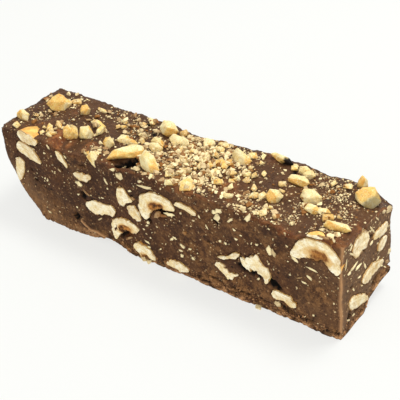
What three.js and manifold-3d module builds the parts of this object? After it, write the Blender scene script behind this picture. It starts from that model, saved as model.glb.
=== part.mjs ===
// Nougat block: a straight bar cut from a round cake of chocolate nougat with whole hazelnuts in it.
// The front, the back and the right end are knife cuts that go through the hazelnuts, the left end
// is the moulded rim of the cake, the base is flat, and chopped roasted hazelnuts lie on the top.
//
// Millimetres. X runs along the bar from the rim (-X) to the cut end (+X), the front cut faces -Y,
// +Z is up, and the bar stands on z = 0.

import * as THREE from 'three';
import { ConvexGeometry } from 'three/addons/geometries/ConvexGeometry.js';
import { mergeVertices } from 'three/addons/utils/BufferGeometryUtils.js';
import Module from 'manifold-3d';

const wasm = await Module();
wasm.setup();

// ---------------------------------------------------------------------------------------------
// Driving dimensions
// ---------------------------------------------------------------------------------------------

const LENGTH = 122;
const DEPTH = 27.5;
const HEIGHT = 31;

const END_X = LENGTH / 2;
const FRONT_Y = -DEPTH / 2;

// The rim leans in towards the base below this height, and swells a little at mid depth.
const RIM = { height: 24, reach: 13, swell: 0.8 };

// A lip of the front bottom edge is folded up off the surface that the bar stands on.
const LIP = { x: -29, halfLength: 6.5, lift: 2.4, depth: 7 };

// The base is broken away under the back half of the cut end.
const BREAK = { startX: 45, startY: -1.4, step: 3.1, slope: 0.13, run: 3.6 };

// Knife cuts wander in two slow waves, and the base edge is nicked where two faster waves meet.
const CUT_WANDER = { reach: 0.16, waves: [[0.43, 0.21, 0], [0.17, -0.55, 1.3]] };
const NICKS = { depth: 0.5, waves: [[1.9, 0], [0.83, 0.7]] };

// Swells (+) and hollows (-) of the top: x, y, height, radius.
const TOP_SWELLS = [
  [-36, -13.75, -1.2, 6], [-6, -13.75, 0.9, 8], [14, -13, 0.6, 5], [46, -13.75, -1.3, 4],
  [56, -13, 1.2, 7], [-55, 13, 0.5, 8], [-4, 14, -1.3, 8], [26, 12, 0.9, 12],
  [51, 10, 1.3, 6], [62, 14, -3.6, 4.5], [-40.5, -9.5, 1.3, 3.6], [-28, -8, 0.8, 3],
  [22, -6, 1.2, 4.5], [-47, -2, 0.6, 4], [34, 3, 0.5, 6], [4, 0, 0.9, 11], [-13, -10.5, -1.3, 3.4],
];

// Grid of the block before its corners are moved into shape.
const GRID = { x: 32, y: 7, z: 7 };

// Room round each hazelnut and chip in the nougat, and how far a cut hazelnut stands proud.
const GAP = 0.3;
const PROUD = 0.15;

// How far the shape that cuts a seat or a hollow stands out of the cut face.
const COLLAR = 1.2;

// Hazelnuts cut by the knife. Each outline is a bent kernel: where its middle is on the cut face
// (along, up), length, thickness, bend and turn in degrees, taper (+ is thicker at the far end),
// bluntness of the ends, and how deep the kernel goes into the bar. Three more numbers say where
// along it an elbow is (0 is the middle), over how much of it the elbow spreads, and how much
// further it reaches on its inner side.
const FRONT_KERNELS = [
  [-49.3, 30.1, 8.6, 4.4, 10, -6, 0, 3, 5.5],
  [-49.5, 24.9, 10.8, 4.6, 35, -20, -0.3, 2.5, 4],
  [-55.2, 17, 9.4, 3.9, 0, 77, 0.25, 2.5, 3.5],
  [-35.3, 26.9, 6.4, 2.4, 20, -54, 0.1, 2.5, 2.5],
  [-27.7, 23, 7.2, 2.7, -30, 6, 0.1, 2.5, 3],
  [-22.1, 13.4, 12.4, 4.3, 0, 8, -0.05, 3.5, 5],
  [-11.5, 21, 5.6, 5.4, 0, -4, -0.5, 4, 3.5],
  [-1.8, 24.6, 18.9, 4.8, 130, 36, -0.1, 3.5, 5, -0.05, 0.9, 0.55],
  [-8.4, 16.6, 6, 3.3, 0, -38, -0.25, 3, 3],
  [-14.8, 10.8, 15.8, 3.9, 100, 44, 0.15, 3, 4.5, -0.15, 0.7, 0.75],
  [11.1, 25.9, 8.2, 2.7, 45, -5, 0.15, 2.5, 3],
  [-5.8, 4, 9.2, 3.6, 60, -14, -0.2, 2.5, 3.5, 0, 1, 0.5],
  [6.2, 3, 8.8, 3.5, 30, 4, 0.15, 4, 3.5],
  [25.8, 14.1, 8.8, 1.6, -36, 27, 0.1, 3, 2],
  [24, 7.6, 8.6, 3, -108, -36, -0.5, 2.5, 3.5, -0.2, 0.75],
  [35.9, 15.5, 13.2, 4.2, 122, -32, -0.42, 4, 4, 0.05, 0.7],
  [43.4, 7, 8.2, 4.4, 35, -14, 0, 3, 4],
  [53.9, 29.5, 21.2, 4.2, 134, -20, 0, 3.5, 5, 0.2, 0.8, 1],
  [53.3, 32.3, 5, 1, 0, 8, 0, 2, 2],
];
const END_KERNELS = [
  [-3.8, 26.2, 9.2, 6.6, 0, -10, 0, 3, 5],
  [7.1, 23.4, 8.8, 4, 0, -8, 0, 3, 4],
  [8.7, 18.2, 5.2, 3.2, 0, 30, 0, 3, 3],
  [3.4, 12.4, 12.4, 4.4, 10, -5, -0.1, 3, 4.5],
  [-4, 7.2, 12, 4, 10, -30, -0.25, 3, 4.5],
];
const BACK_KERNELS = [
  [-46, 20.5, 11.5, 5, 60, 35, -0.2, 3, 4.5],
  [-31, 10.5, 9, 4, 0, -25, 0.3, 2, 4],
  [-12.5, 19.5, 15.5, 4.6, 135, -160, 0.1, 3, 4.5],
  [3, 8, 11.5, 4.2, 25, 12, -0.2, 3, 4.5],
  [19.5, 21, 9.5, 4.8, 0, 65, 0.2, 3, 4.5],
  [37.5, 11.5, 14, 4, 110, 15, 0.2, 3, 4.5],
];

// Corners along each side of a kernel's outline, more where it bends into an arch, steps along its
// middle line, how uneven its thickness is, how far a grown outline may run out at a sharp corner
// (a smaller number is further), and the kernel's sections from the cut inwards as [share of its
// size, share of its depth].
const KERNEL_CORNERS = { straight: 4, arched: 6, archedFrom: 90 };
const MIDDLE_STEPS = 12;
const UNEVENNESS = [0.88, 1.1];
const MITRE_LIMIT = 0.35;
const KERNEL_SECTIONS = [[1, 0], [0.88, 0.5], [0.45, 1]];

// Hollows that show in the cut faces, in the same terms as the kernels.
const FRONT_HOLLOWS = [
  [2.6, 20.6, 5.4, 3, 20, 12, 0, 2, 4.5],
  [-12.6, 7.3, 4.6, 2.2, 20, 38, 0, 2, 2],
  [31.2, 11.6, 5, 2, 0, -4, 0, 2, 4],
  [39.9, 10.1, 3.8, 2.2, 0, 30, 0, 2, 3.5],
  [-28.7, 16.3, 3, 1.7, 0, 80, 0, 2, 2.5],
  [-32.7, 6.5, 3.2, 1.8, 0, 30, 0, 2, 2.5],
];
const END_HOLLOWS = [
  [-9.9, 5.4, 3.8, 1.8, 0, 105, 0, 2, 4],
];

// Chips large enough to be pieces of their own on the top: x, y, length, width, height, turn,
// squareness (0 is a ball, 1 a block), how much they narrow upwards, how much of their height is
// pressed in where that differs from the rest, and how many degrees their far end is up.
const LARGE_CHIPS = [
  [-52, 3.8, 7.6, 6.2, 6.8, 20, 0.6, 0.3], [-57.8, -6, 6.2, 4.2, 3.8, 165, 0.3, 0.4],
  [-42, 5.6, 4, 3.4, 4.4, 60, 0.6, 0.2], [-37.1, -7.8, 3.6, 2.8, 5.6, 50, 0.3, -0.1],
  [-32.2, -4.9, 4.6, 4, 5, 40, 0.5, 0.1], [-33.1, 1.7, 6.4, 2.6, 3.2, -8, 0.6, 0.2],
  [-23, -5.4, 4.4, 3.6, 4.2, 10, 0.5, 0.2], [-14.2, -7.4, 12.6, 4.8, 3.6, 52, 0.5, 0.1, 0, 9],
  [-22.9, -12.7, 3.8, 3, 6, 0, 0.6, 0, 0.68], [-20.6, -1, 5, 3.2, 2.6, 20, 0.4, 0.3],
  [-4, -9.8, 8, 5, 7.6, -25, 0.4, 0.45], [-11.4, 9.2, 6, 4.8, 6, 15, 0.7, 0],
  [-4.9, 5.4, 7, 3.4, 3.8, 5, 0.9, 0], [-8.4, -0.9, 4.6, 3.4, 3.8, 30, 0.4, 0.2],
  [3.9, 9, 4.4, 3.6, 3.8, 40, 0.5, 0.2], [16.1, 6.4, 8, 4.8, 6, -8, 0.4, 0.7],
  [11.2, -12.2, 5, 4, 4, 60, 0.5, 0.2], [27.3, 12, 8.4, 2.4, 3, 0, 0.5, 0.1],
  [35.4, 10.6, 4.2, 3, 2.8, 40, 0.4, 0.2], [36.8, 5.4, 6.8, 3.4, 3.2, 20, 0.1, 0.1],
  [43.4, 0.6, 7.6, 5.2, 4.4, 10, 0.2, 0.2], [46.4, -4, 4.6, 3, 3, 20, 0.6, 0.1],
  [34.8, -4.2, 5.4, 4.4, 4.4, 20, 0.5, 0.3], [56.2, -7.8, 7.8, 2.2, 2.8, 5, 0.8, 0],
  [57, 7.4, 8, 5.8, 6, 15, 0.5, 0.2], [52.6, 12.2, 4.4, 3.4, 4.8, 60, 0.3, 0.6],
];

// Second lumps of some of them, by the chip's number.
const SECOND_LUMPS = {
  4: [-35.5, -6.9, 2.8, 2.4, 5, 20, 0.3, -0.1],
  6: [-30, -0.9, 5.6, 2.2, 3.2, 100, 0.5, 0.2],
  10: [-17.8, -1.5, 5, 2.6, 2.2, 0, 0.4, 0.3],
  14: [-9.6, 1.5, 4.8, 3, 4.4, 10, 0.4, 0.2],
  19: [37.4, 9.8, 4.2, 2.8, 2.8, 20, 0.3, 0.2],
  22: [49.3, -2.8, 4.4, 2.4, 2.2, 30, 0.5, 0.2],
};

// Smaller chips that are pressed on, in the same terms.
const PLACED_CHIPS = [
  [-43.9, -8.9, 3, 2.6, 2, 20], [-43.6, -4.8, 3, 2.6, 2.4, 140], [-48.5, 8.9, 3.2, 2.4, 2.2, 20],
  [0.2, 4.8, 3, 2.6, 2.2, 50], [7.8, 8.3, 3.8, 2.4, 2, 0], [7.7, 11, 4, 2, 2.2, 0],
  [18.6, 9.7, 3.2, 2.4, 2.2, 30], [3.4, -9.8, 3.2, 2.6, 2.4, 60], [-7.2, 11.4, 2.8, 2.4, 3, 40],
  [12.4, 1.4, 4.4, 3, 3, 30], [14.5, 3, 3.4, 2.6, 2.2, 50], [22.6, 0.8, 2.2, 1.8, 2.2, 20],
  [24.3, 1.8, 2.2, 1.6, 2.2, 60], [29.3, -6, 2.8, 2.2, 2.4, 20], [31.6, -5.4, 2.8, 2, 2.6, 70],
  [52, -5.2, 3.2, 2.4, 2.6, 40], [32.4, 10.2, 2.4, 1.8, 1.8, 45], [5.6, -13, 3, 2, 2.2, 20],
];

// Chips strewn by rule, largest first: how many, their lengths, and the shares of the length that
// width and height take.
const STREWN = { count: 74, longest: 3.2, shortest: 1.5, width: [0.6, 0.9], height: [0.5, 0.75] };

// They lie thickest in a heap past the middle and thinnest at both ends.
const HEAP = { x: 4, y: 0, reachX: 18, reachY: 10 };
const THIN = 0.22;
const EDGE_MARGIN = 1.6;
const SPACING = { toLarge: 1.1, toSmall: 0.42 };

// How much of a chip's height is pressed into the nougat, how far it may lean, and its corners.
const SUNK = 0.26;
const LEAN = 0.2;
const LARGE_CORNERS = 12;
const SMALL_CORNERS = 7;

// How a chip's corners leave the ball: how far round and how far out, and where the kernel broke.
const ROUGHNESS = { swing: 0.5, reach: [0.88, 1.06] };
const BREAKS = { count: 3, tilt: [-0.4, 0.8], at: [0.5, 0.8], flatness: 0.9 };

const SEEDS = { kernel: 11, perKernel: 17, large: 101, second: 301, placed: 401, strewn: 7001 };

// Colour and roughness of each kind of piece.
const LOOKS = {
  nougat: { color: 0x654630, roughness: 0.7 },
  kernel: { color: 0xeedcae, roughness: 0.6 },
  chip: { color: 0xe8bc6c, roughness: 0.55 },
};

// ---------------------------------------------------------------------------------------------
// Small tools
// ---------------------------------------------------------------------------------------------

// A random number generator from 0 to 1 that gives the same row of numbers for the same seed.
const GENERATOR = { factor: 1664525, step: 1013904223, range: 2 ** 32 };

function randomFrom(seed) {
  let state = seed >>> 0;
  return () => {
    state = (Math.imul(state, GENERATOR.factor) + GENERATOR.step) >>> 0;
    return state / GENERATOR.range;
  };
}

function mix(low, high, share) {
  return low + (high - low) * share;
}

function smoothStep(value) {
  const t = Math.min(1, Math.max(0, value));
  return t * t * (3 - 2 * t);
}

function bell(distance) {
  return Math.exp(-distance * distance);
}

// Turns a closed geometry into a solid that can be joined and cut. Corners closer than this are one.
const SAME_PLACE = 1e-4;

function solidFrom(geometry) {
  geometry.deleteAttribute('normal');
  geometry.deleteAttribute('uv');
  const merged = mergeVertices(geometry, SAME_PLACE);
  return new wasm.Manifold(new wasm.Mesh({
    numProp: 3,
    vertProperties: new Float32Array(merged.attributes.position.array),
    triVerts: new Uint32Array(merged.index.array),
  }));
}

function geometryFrom(solid) {
  const mesh = solid.getMesh();
  const geometry = new THREE.BufferGeometry();
  geometry.setAttribute('position', new THREE.BufferAttribute(mesh.vertProperties, 3));
  geometry.setIndex(new THREE.BufferAttribute(mesh.triVerts, 1));
  geometry.computeVertexNormals();
  return geometry;
}

// ---------------------------------------------------------------------------------------------
// The nougat
// ---------------------------------------------------------------------------------------------

// Height of the natural top at a place on the bar.
function topAt(x, y) {
  return TOP_SWELLS.reduce(
    (height, [atX, atY, rise, radius]) => height + rise * bell(Math.hypot(x - atX, y - atY) / radius),
    HEIGHT,
  );
}

// Height of the underside: flat but for the folded lip and the break under the cut end.
function undersideAt(x, y) {
  const inFromFront = Math.max(0, 1 - (y - FRONT_Y) / LIP.depth);
  const lip = LIP.lift * bell((x - LIP.x) / LIP.halfLength) * inFromFront ** 2;
  const across = y - BREAK.startY;
  const along = smoothStep((x - BREAK.startX) / (END_X - BREAK.startX));
  const broken = (BREAK.step * smoothStep(across / BREAK.run) + BREAK.slope * Math.max(0, across)) * along;
  return lip + broken;
}

// Where the moulded rim is, leaning in below RIM.height.
function rimAt(y, z) {
  const low = Math.max(0, 1 - z / RIM.height);
  const offMiddle = y / (DEPTH / 2);
  return -END_X + RIM.swell * offMiddle ** 2 + RIM.reach * low ** 2;
}

// Slow wander of a knife cut, from two places on it.
function wander(a, b) {
  const waves = CUT_WANDER.waves.map(([byA, byB, start]) => Math.sin(a * byA + b * byB + start));
  return CUT_WANDER.reach * (waves[0] + waves[1]);
}

// Nicks along the crumbly base edge.
function nickAt(along) {
  const waves = NICKS.waves.map(([byAlong, start]) => Math.sin(along * byAlong + start));
  return NICKS.depth * Math.max(0, waves[0] * waves[1]);
}

// Moves one corner of a plain box of the bar's size into the true shape.
function shapedCorner(corner) {
  const share = { x: corner.x / LENGTH + 0.5, y: corner.y / DEPTH, z: corner.z / HEIGHT + 0.5 };
  const onBase = share.z === 0;
  const onCut = Math.abs(share.y) === 0.5;
  const underside = undersideAt(corner.x, corner.y) + (onBase && onCut ? nickAt(corner.x) : 0);
  const z = mix(underside, topAt(corner.x, corner.y), share.z);
  const right = END_X + wander(corner.y, z) * share.x;
  const x = mix(rimAt(corner.y, z), right, share.x);
  const y = corner.y + (onCut ? wander(corner.x, z) : 0);
  return new THREE.Vector3(x, y, z);
}

function nougatBody() {
  const geometry = new THREE.BoxGeometry(LENGTH, DEPTH, HEIGHT, GRID.x, GRID.y, GRID.z);
  const position = geometry.attributes.position;
  for (let i = 0; i < position.count; i += 1) {
    const corner = new THREE.Vector3().fromBufferAttribute(position, i);
    const moved = shapedCorner(corner);
    position.setXYZ(i, moved.x, moved.y, moved.z);
  }
  return solidFrom(geometry);
}

// ---------------------------------------------------------------------------------------------
// Cut hazelnuts
// ---------------------------------------------------------------------------------------------

// Frames of the three cut faces: along, up and outwards.
const FACES = {
  front: { along: [1, 0, 0], out: [0, -1, 0], at: [0, FRONT_Y, 0] },
  end: { along: [0, 1, 0], out: [1, 0, 0], at: [END_X, 0, 0] },
  back: { along: [-1, 0, 0], out: [0, 1, 0], at: [0, -FRONT_Y, 0] },
};

function faceMatrix(face) {
  const { along, out, at } = FACES[face];
  return new THREE.Matrix4()
    .makeBasis(new THREE.Vector3(...along), new THREE.Vector3(0, 0, 1), new THREE.Vector3(...out))
    .setPosition(...at);
}

// Names the numbers of a kernel's row, with its angles in radians, and counts the steps along it.
function kernelFrom(row) {
  const [along, up, length, thickness, bend, turn, taper, bluntness, depth] = row;
  const [elbow = 0, spread = 1, inner = 0] = row.slice(9);
  const { degToRad } = THREE.MathUtils;
  const { straight, arched, archedFrom } = KERNEL_CORNERS;
  const steps = 1 + (Math.abs(bend) < archedFrom ? straight : arched);
  const shape = { length, thickness, bend: degToRad(bend), taper, bluntness, depth, steps };
  return { along, up, turn: degToRad(turn), elbow, spread, inner, ...shape };
}

// Which way the middle line runs at a station from -1 to 1. It turns by the bend in all.
function middleAngle({ bend, elbow, spread }, station) {
  return bend * (0.5 - smoothStep((station - elbow + spread) / (2 * spread)));
}

// Where the middle line is at a station, stepping out along it from its middle.
function middleAt(kernel, station) {
  const stride = (station * kernel.length) / 2 / MIDDLE_STEPS;
  const point = new THREE.Vector2();
  for (let i = 0; i < MIDDLE_STEPS; i += 1) {
    const angle = middleAngle(kernel, (station * (i + 0.5)) / MIDDLE_STEPS);
    point.x += stride * Math.cos(angle);
    point.y += stride * Math.sin(angle);
  }
  return point;
}

// One point of a kernel's outline, scaled to a share of its size. station runs from -1 to 1 along
// the kernel's bent middle line, and side is -1 below it and 1 above it.
function outlinePoint(kernel, station, side, unevenness, share) {
  const { thickness, taper, bluntness, inner } = kernel;
  const middle = middleAt(kernel, station * share);
  const angle = middleAngle(kernel, station * share);
  const swell = Math.sqrt(Math.max(0, 1 - Math.abs(station) ** bluntness)) * (1 + taper * station);
  const more = side < 0 ? 1 + inner * (1 - station ** 2) : 1;
  const reach = side * swell * more * unevenness * share * thickness / 2;
  return [middle.x - reach * Math.sin(angle), middle.y + reach * Math.cos(angle)];
}

// Moves a counter-clockwise outline outwards, each corner along the middle of its two edges.
function grownOutline(points, grow) {
  return points.map(([a, b], i) => {
    const corner = new THREE.Vector2(a, b);
    const before = new THREE.Vector2(...points.at(i - 1));
    const after = new THREE.Vector2(...points[(i + 1) % points.length]);
    const outwards = ([from, to]) => {
      const edge = to.clone().sub(from).normalize();
      return new THREE.Vector2(edge.y, -edge.x);
    };
    const normals = [[before, corner], [corner, after]].map(outwards);
    const middle = normals[0].clone().add(normals[1]);
    const sharpness = Math.max(MITRE_LIMIT, 1 + normals[0].dot(normals[1]));
    return corner.addScaledVector(middle, grow / sharpness).toArray();
  });
}

// The closed outline, counter-clockwise as seen from outside: along the lower side to the far tip
// and back along the upper side.
function kernelOutline(kernel, seed, { share, grow }) {
  const random = randomFrom(seed);
  const { steps } = kernel;
  const points = [...Array(2 * steps).keys()].map((i) => {
    const step = i <= steps ? i : 2 * steps - i;
    const station = Math.sin(mix(-1, 1, step / steps) * Math.PI / 2);
    return outlinePoint(kernel, station, i <= steps ? -1 : 1, mix(...UNEVENNESS, random()), share);
  });
  return grownOutline(points, grow).map(([a, b]) => [
    kernel.along + a * Math.cos(kernel.turn) - b * Math.sin(kernel.turn),
    kernel.up + a * Math.sin(kernel.turn) + b * Math.cos(kernel.turn),
  ]);
}

// Triangles that close an outline, rung by rung between its lower and its upper side.
function rungs(steps) {
  const upper = (step) => (2 * steps - step) % (2 * steps);
  return [...Array(steps).keys()].flatMap((i) => {
    const first = i + 1 < steps ? [i, i + 1, upper(i + 1)] : [];
    const second = i > 0 ? [i, upper(i + 1), upper(i)] : [];
    return [...first, ...second];
  });
}

// Side walls between one ring of corners and the next one further into the bar.
function ringWalls(ring, near) {
  return [...Array(ring).keys()].flatMap((i) => {
    const j = (i + 1) % ring;
    const far = near + ring;
    return [far + i, far + j, near + j, far + i, near + j, near + i];
  });
}

// A kernel as a solid: its outline on the cut, then smaller sections into the bar. A collar keeps
// the full outline for some way out of the cut, so that the solid can cut its own seat.
function kernelSolid(row, face, seed, { grow = 0, collar = 0 } = {}) {
  const kernel = kernelFrom(row);
  const ring = 2 * kernel.steps;
  const inside = KERNEL_SECTIONS.map(([share, depthShare]) => ({
    share, out: depthShare ? -kernel.depth * depthShare - grow : PROUD,
  }));
  const sections = collar ? [{ share: 1, out: PROUD + collar }, ...inside] : inside;
  const position = sections.flatMap(({ share, out }) => (
    kernelOutline(kernel, seed, { share, grow }).flatMap(([a, b]) => [a, b, out])
  ));
  const last = (sections.length - 1) * ring;
  const backCap = rungs(kernel.steps).map((corner) => last + corner).reverse();
  const walls = sections.slice(1).flatMap((_, section) => ringWalls(ring, section * ring));
  const geometry = new THREE.BufferGeometry();
  geometry.setAttribute('position', new THREE.Float32BufferAttribute(position, 3));
  geometry.setIndex([...rungs(kernel.steps), ...backCap, ...walls]);
  return solidFrom(geometry.applyMatrix4(faceMatrix(face)));
}

// ---------------------------------------------------------------------------------------------
// Chopped hazelnuts
// ---------------------------------------------------------------------------------------------

// Planes that a kernel broke along, as the way each one faces and how far out it is.
function breakPlanes(random) {
  return [...Array(BREAKS.count).keys()].map(() => {
    const angle = random() * Math.PI * 2;
    const height = mix(...BREAKS.tilt, random());
    const flat = Math.sqrt(1 - height * height);
    const normal = new THREE.Vector3(flat * Math.cos(angle), flat * Math.sin(angle), height);
    return { normal, limit: mix(...BREAKS.at, random()) };
  });
}

// Corners of a chip that fills a cube of side 2: spread over a ball by a spiral, pushed out towards
// a block, narrowed upwards and flattened where the kernel broke, then stretched to the cube.
function chipCorners(count, random, square, narrow) {
  const breaks = breakPlanes(random);
  const goldenAngle = Math.PI * (3 - Math.sqrt(5));
  const corners = [...Array(count).keys()].map((i) => {
    const height = 1 - (2 * i + 1) / count;
    const flat = Math.sqrt(1 - height * height);
    const angle = i * goldenAngle + random() * ROUGHNESS.swing;
    const corner = new THREE.Vector3(flat * Math.cos(angle), flat * Math.sin(angle), height);
    corner.divideScalar(mix(1, Math.max(...corner.toArray().map(Math.abs)), square));
    corner.multiplyScalar(mix(...ROUGHNESS.reach, random()));
    for (const { normal, limit } of breaks) {
      const beyond = corner.dot(normal) - limit;
      if (beyond > 0) corner.addScaledVector(normal, -BREAKS.flatness * beyond);
    }
    return corner;
  });
  const box = new THREE.Box3().setFromPoints(corners);
  const middle = box.getCenter(new THREE.Vector3());
  const half = box.getSize(new THREE.Vector3()).divideScalar(2);
  return corners.map((corner) => {
    const filled = corner.sub(middle).divide(half);
    const width = 1 - narrow * (filled.z + 1) / 2;
    return filled.multiply(new THREE.Vector3(width, width, 1));
  });
}

// Corners moved out by the same distance along each axis in turn.
function grownCorners(corners, grow) {
  const axes = [new THREE.Vector3(grow, 0, 0), new THREE.Vector3(0, grow, 0), new THREE.Vector3(0, 0, grow)];
  return corners.flatMap((corner) => (
    axes.flatMap((axis) => [corner.clone().add(axis), corner.clone().sub(axis)])
  ));
}

// A chip where it lies on the top.
function chipSolid(row, seed, corners, grow = 0) {
  const [x, y, length, width, height, turn, square = 0, narrow = 0, sunk = SUNK, rise = 0] = row;
  const random = randomFrom(seed);
  const half = new THREE.Vector3(length, width, height).divideScalar(2);
  const points = chipCorners(corners, random, square, narrow).map((corner) => corner.multiply(half));
  const { degToRad } = THREE.MathUtils;
  const leans = [mix(-LEAN, LEAN, random()), mix(-LEAN, LEAN, random()) - degToRad(rise)];
  const lean = new THREE.Euler(...leans, 0);
  const matrix = new THREE.Matrix4()
    .makeTranslation(x, y, topAt(x, y) + height * (0.5 - sunk))
    .multiply(new THREE.Matrix4().makeRotationZ(degToRad(turn)))
    .multiply(new THREE.Matrix4().makeRotationFromEuler(lean));
  const grown = grow ? grownCorners(points, grow) : points;
  return solidFrom(new ConvexGeometry(grown).applyMatrix4(matrix));
}

// A large chip, with its second lump where it has one.
function largeChipSolid(i, grow = 0) {
  const first = chipSolid(LARGE_CHIPS[i], SEEDS.large + i, LARGE_CORNERS, grow);
  const second = SECOND_LUMPS[i + 1];
  return second ? first.add(chipSolid(second, SEEDS.second + i, LARGE_CORNERS, grow)) : first;
}

// Share of tries that leave a chip at a place.
function strewnShare(x, y) {
  return THIN + (1 - THIN) * bell(Math.hypot((x - HEAP.x) / HEAP.reachX, (y - HEAP.y) / HEAP.reachY));
}

// Reach of a chip round its middle.
function chipReach([, , length, width]) {
  return (length + width) / 4;
}

function isClear(chip, others, overlap) {
  return others.every((other) => {
    const apart = Math.hypot(chip[0] - other[0], chip[1] - other[1]);
    return apart > (chipReach(chip) + chipReach(other)) * overlap;
  });
}

// Strews chips over the top, largest first, clear of the large chips and not far into each other.
function strewnChips() {
  const random = randomFrom(SEEDS.strewn);
  const chips = [];
  while (chips.length < STREWN.count) {
    const length = mix(STREWN.longest, STREWN.shortest, chips.length / STREWN.count);
    const chip = [
      mix(EDGE_MARGIN - END_X, END_X - EDGE_MARGIN, random()),
      mix(EDGE_MARGIN - DEPTH / 2, DEPTH / 2 - EDGE_MARGIN, random()),
      length,
      length * mix(...STREWN.width, random()),
      length * mix(...STREWN.height, random()),
      360 * random(),
    ];
    const lands = random() < strewnShare(chip[0], chip[1]);
    const clearOfLarge = isClear(chip, [...LARGE_CHIPS, ...Object.values(SECOND_LUMPS)], SPACING.toLarge);
    const clearOfSmall = isClear(chip, [...PLACED_CHIPS, ...chips], SPACING.toSmall);
    if (lands && clearOfLarge && clearOfSmall) chips.push(chip);
  }
  return chips;
}

// ---------------------------------------------------------------------------------------------
// The bar put together
// ---------------------------------------------------------------------------------------------

const KERNELS_BY_FACE = { front: FRONT_KERNELS, end: END_KERNELS, back: BACK_KERNELS };
const HOLLOWS_BY_FACE = { front: FRONT_HOLLOWS, end: END_HOLLOWS };

function kernelPieces() {
  return Object.entries(KERNELS_BY_FACE).flatMap(([face, kernels]) => kernels.map((kernel, i) => {
    const seed = SEEDS.kernel + i * SEEDS.perKernel + face.length;
    return {
      name: `cut_hazelnut_${face}_${String(i + 1).padStart(2, '0')}`,
      solid: kernelSolid(kernel, face, seed),
      seat: kernelSolid(kernel, face, seed, { grow: GAP, collar: COLLAR }),
    };
  }));
}

function chipPieces() {
  return LARGE_CHIPS.map((row, i) => ({
    name: `chopped_hazelnut_${String(i + 1).padStart(2, '0')}`,
    solid: largeChipSolid(i),
    seat: largeChipSolid(i, GAP),
  }));
}

function hollows() {
  return Object.entries(HOLLOWS_BY_FACE).flatMap(([face, list]) => list.map(
    (hollow, i) => kernelSolid(hollow, face, SEEDS.kernel + i, { collar: COLLAR }),
  ));
}

// The nougat with its small chips pressed on, less the seats of the pieces and the hollows.
function nougatSolid(pieces) {
  const placed = PLACED_CHIPS.map((chip, i) => chipSolid(chip, SEEDS.placed + i, SMALL_CORNERS));
  const strewn = strewnChips().map((chip, i) => chipSolid(chip, SEEDS.strewn + i, SMALL_CORNERS));
  const joined = [...placed, ...strewn].reduce((body, chip) => body.add(chip), nougatBody());
  const cuts = [...pieces.map((piece) => piece.seat), ...hollows()];
  return cuts.reduce((body, cut) => body.subtract(cut), joined);
}

function namedMesh(name, solid, look) {
  const material = new THREE.MeshStandardMaterial({ ...look, metalness: 0 });
  const mesh = new THREE.Mesh(geometryFrom(solid), material);
  mesh.name = name;
  return mesh;
}

function nougatBlock() {
  const kernels = kernelPieces();
  const chips = chipPieces();
  const group = new THREE.Group();
  group.name = 'nougat_block';
  group.add(namedMesh('nougat', nougatSolid([...kernels, ...chips]), LOOKS.nougat));
  kernels.forEach(({ name, solid }) => group.add(namedMesh(name, solid, LOOKS.kernel)));
  chips.forEach(({ name, solid }) => group.add(namedMesh(name, solid, LOOKS.chip)));
  return group;
}

export default nougatBlock();
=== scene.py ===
# %% [markdown]
# # A bar of hazelnut chocolate nougat
#
# The real thing is a finger cut out of a round, flat cake. A knife made the front, the back and
# the right end, and it went through the hazelnuts, so their pale insides show there. The left
# end is the moulded rim of the cake, and chopped roasted hazelnuts lie on the top. The solids
# that carry weight and touch other things come ready made, and this lesson gives each of them
# its fine surface and its colours. The solids are loaded first, because everything is fitted to
# them.

# %% Load the solids
import functools
import math
import random
from collections import namedtuple

import bmesh
import bpy
import numpy as np
from mathutils import Matrix, Vector, noise
from mathutils.bvhtree import BVHTree
from mathutils.geometry import intersect_point_line


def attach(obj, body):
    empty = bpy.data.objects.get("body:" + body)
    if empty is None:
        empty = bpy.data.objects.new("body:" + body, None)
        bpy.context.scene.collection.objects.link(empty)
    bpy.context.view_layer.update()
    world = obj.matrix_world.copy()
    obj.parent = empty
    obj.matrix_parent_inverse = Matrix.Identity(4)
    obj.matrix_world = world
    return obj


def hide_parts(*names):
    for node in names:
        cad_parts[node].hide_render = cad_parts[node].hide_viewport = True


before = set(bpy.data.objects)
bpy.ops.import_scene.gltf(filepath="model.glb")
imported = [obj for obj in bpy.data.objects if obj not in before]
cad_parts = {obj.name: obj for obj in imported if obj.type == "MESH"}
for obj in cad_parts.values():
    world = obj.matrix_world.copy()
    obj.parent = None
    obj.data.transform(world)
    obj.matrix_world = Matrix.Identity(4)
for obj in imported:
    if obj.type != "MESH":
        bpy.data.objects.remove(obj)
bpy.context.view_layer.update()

# %% [markdown]
# ## Small tools
#
# Food is easier to think about in millimetres, so every piece is modelled in millimetres and
# scaled to metres when it is done. The solids were strewn with a simple random number generator.
# The same generator with the same seeds finds every small chip again, in the same place.

# %% Numbers that several steps use
MM = 0.001


def repeatable(seed):
    """Gives numbers from 0 to 1, always the same row of them for the same seed."""
    state = seed
    while True:
        state = (state * 1664525 + 1013904223) % 4294967296
        yield state / 4294967296


def mix(low, high, share):
    return low + (high - low) * share


def smooth(value):
    share = min(1.0, max(0.0, value))
    return share * share * (3 - 2 * share)


def bell(distance):
    return math.exp(-distance * distance)


def rough(place, size):
    """Soft noise from about -1 to 1 whose lumps are as large as size."""
    return noise.noise(Vector(place) / size)


# %% Turn a mesh into a piece
def new_piece(mesh, name, finish):
    """Puts a mesh with its finish into the scene, fixed to the bar."""
    mesh.materials.append(finish)
    piece = bpy.data.objects.new(name, mesh)
    bpy.context.scene.collection.objects.link(piece)
    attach(piece, "root")
    return piece


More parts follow.
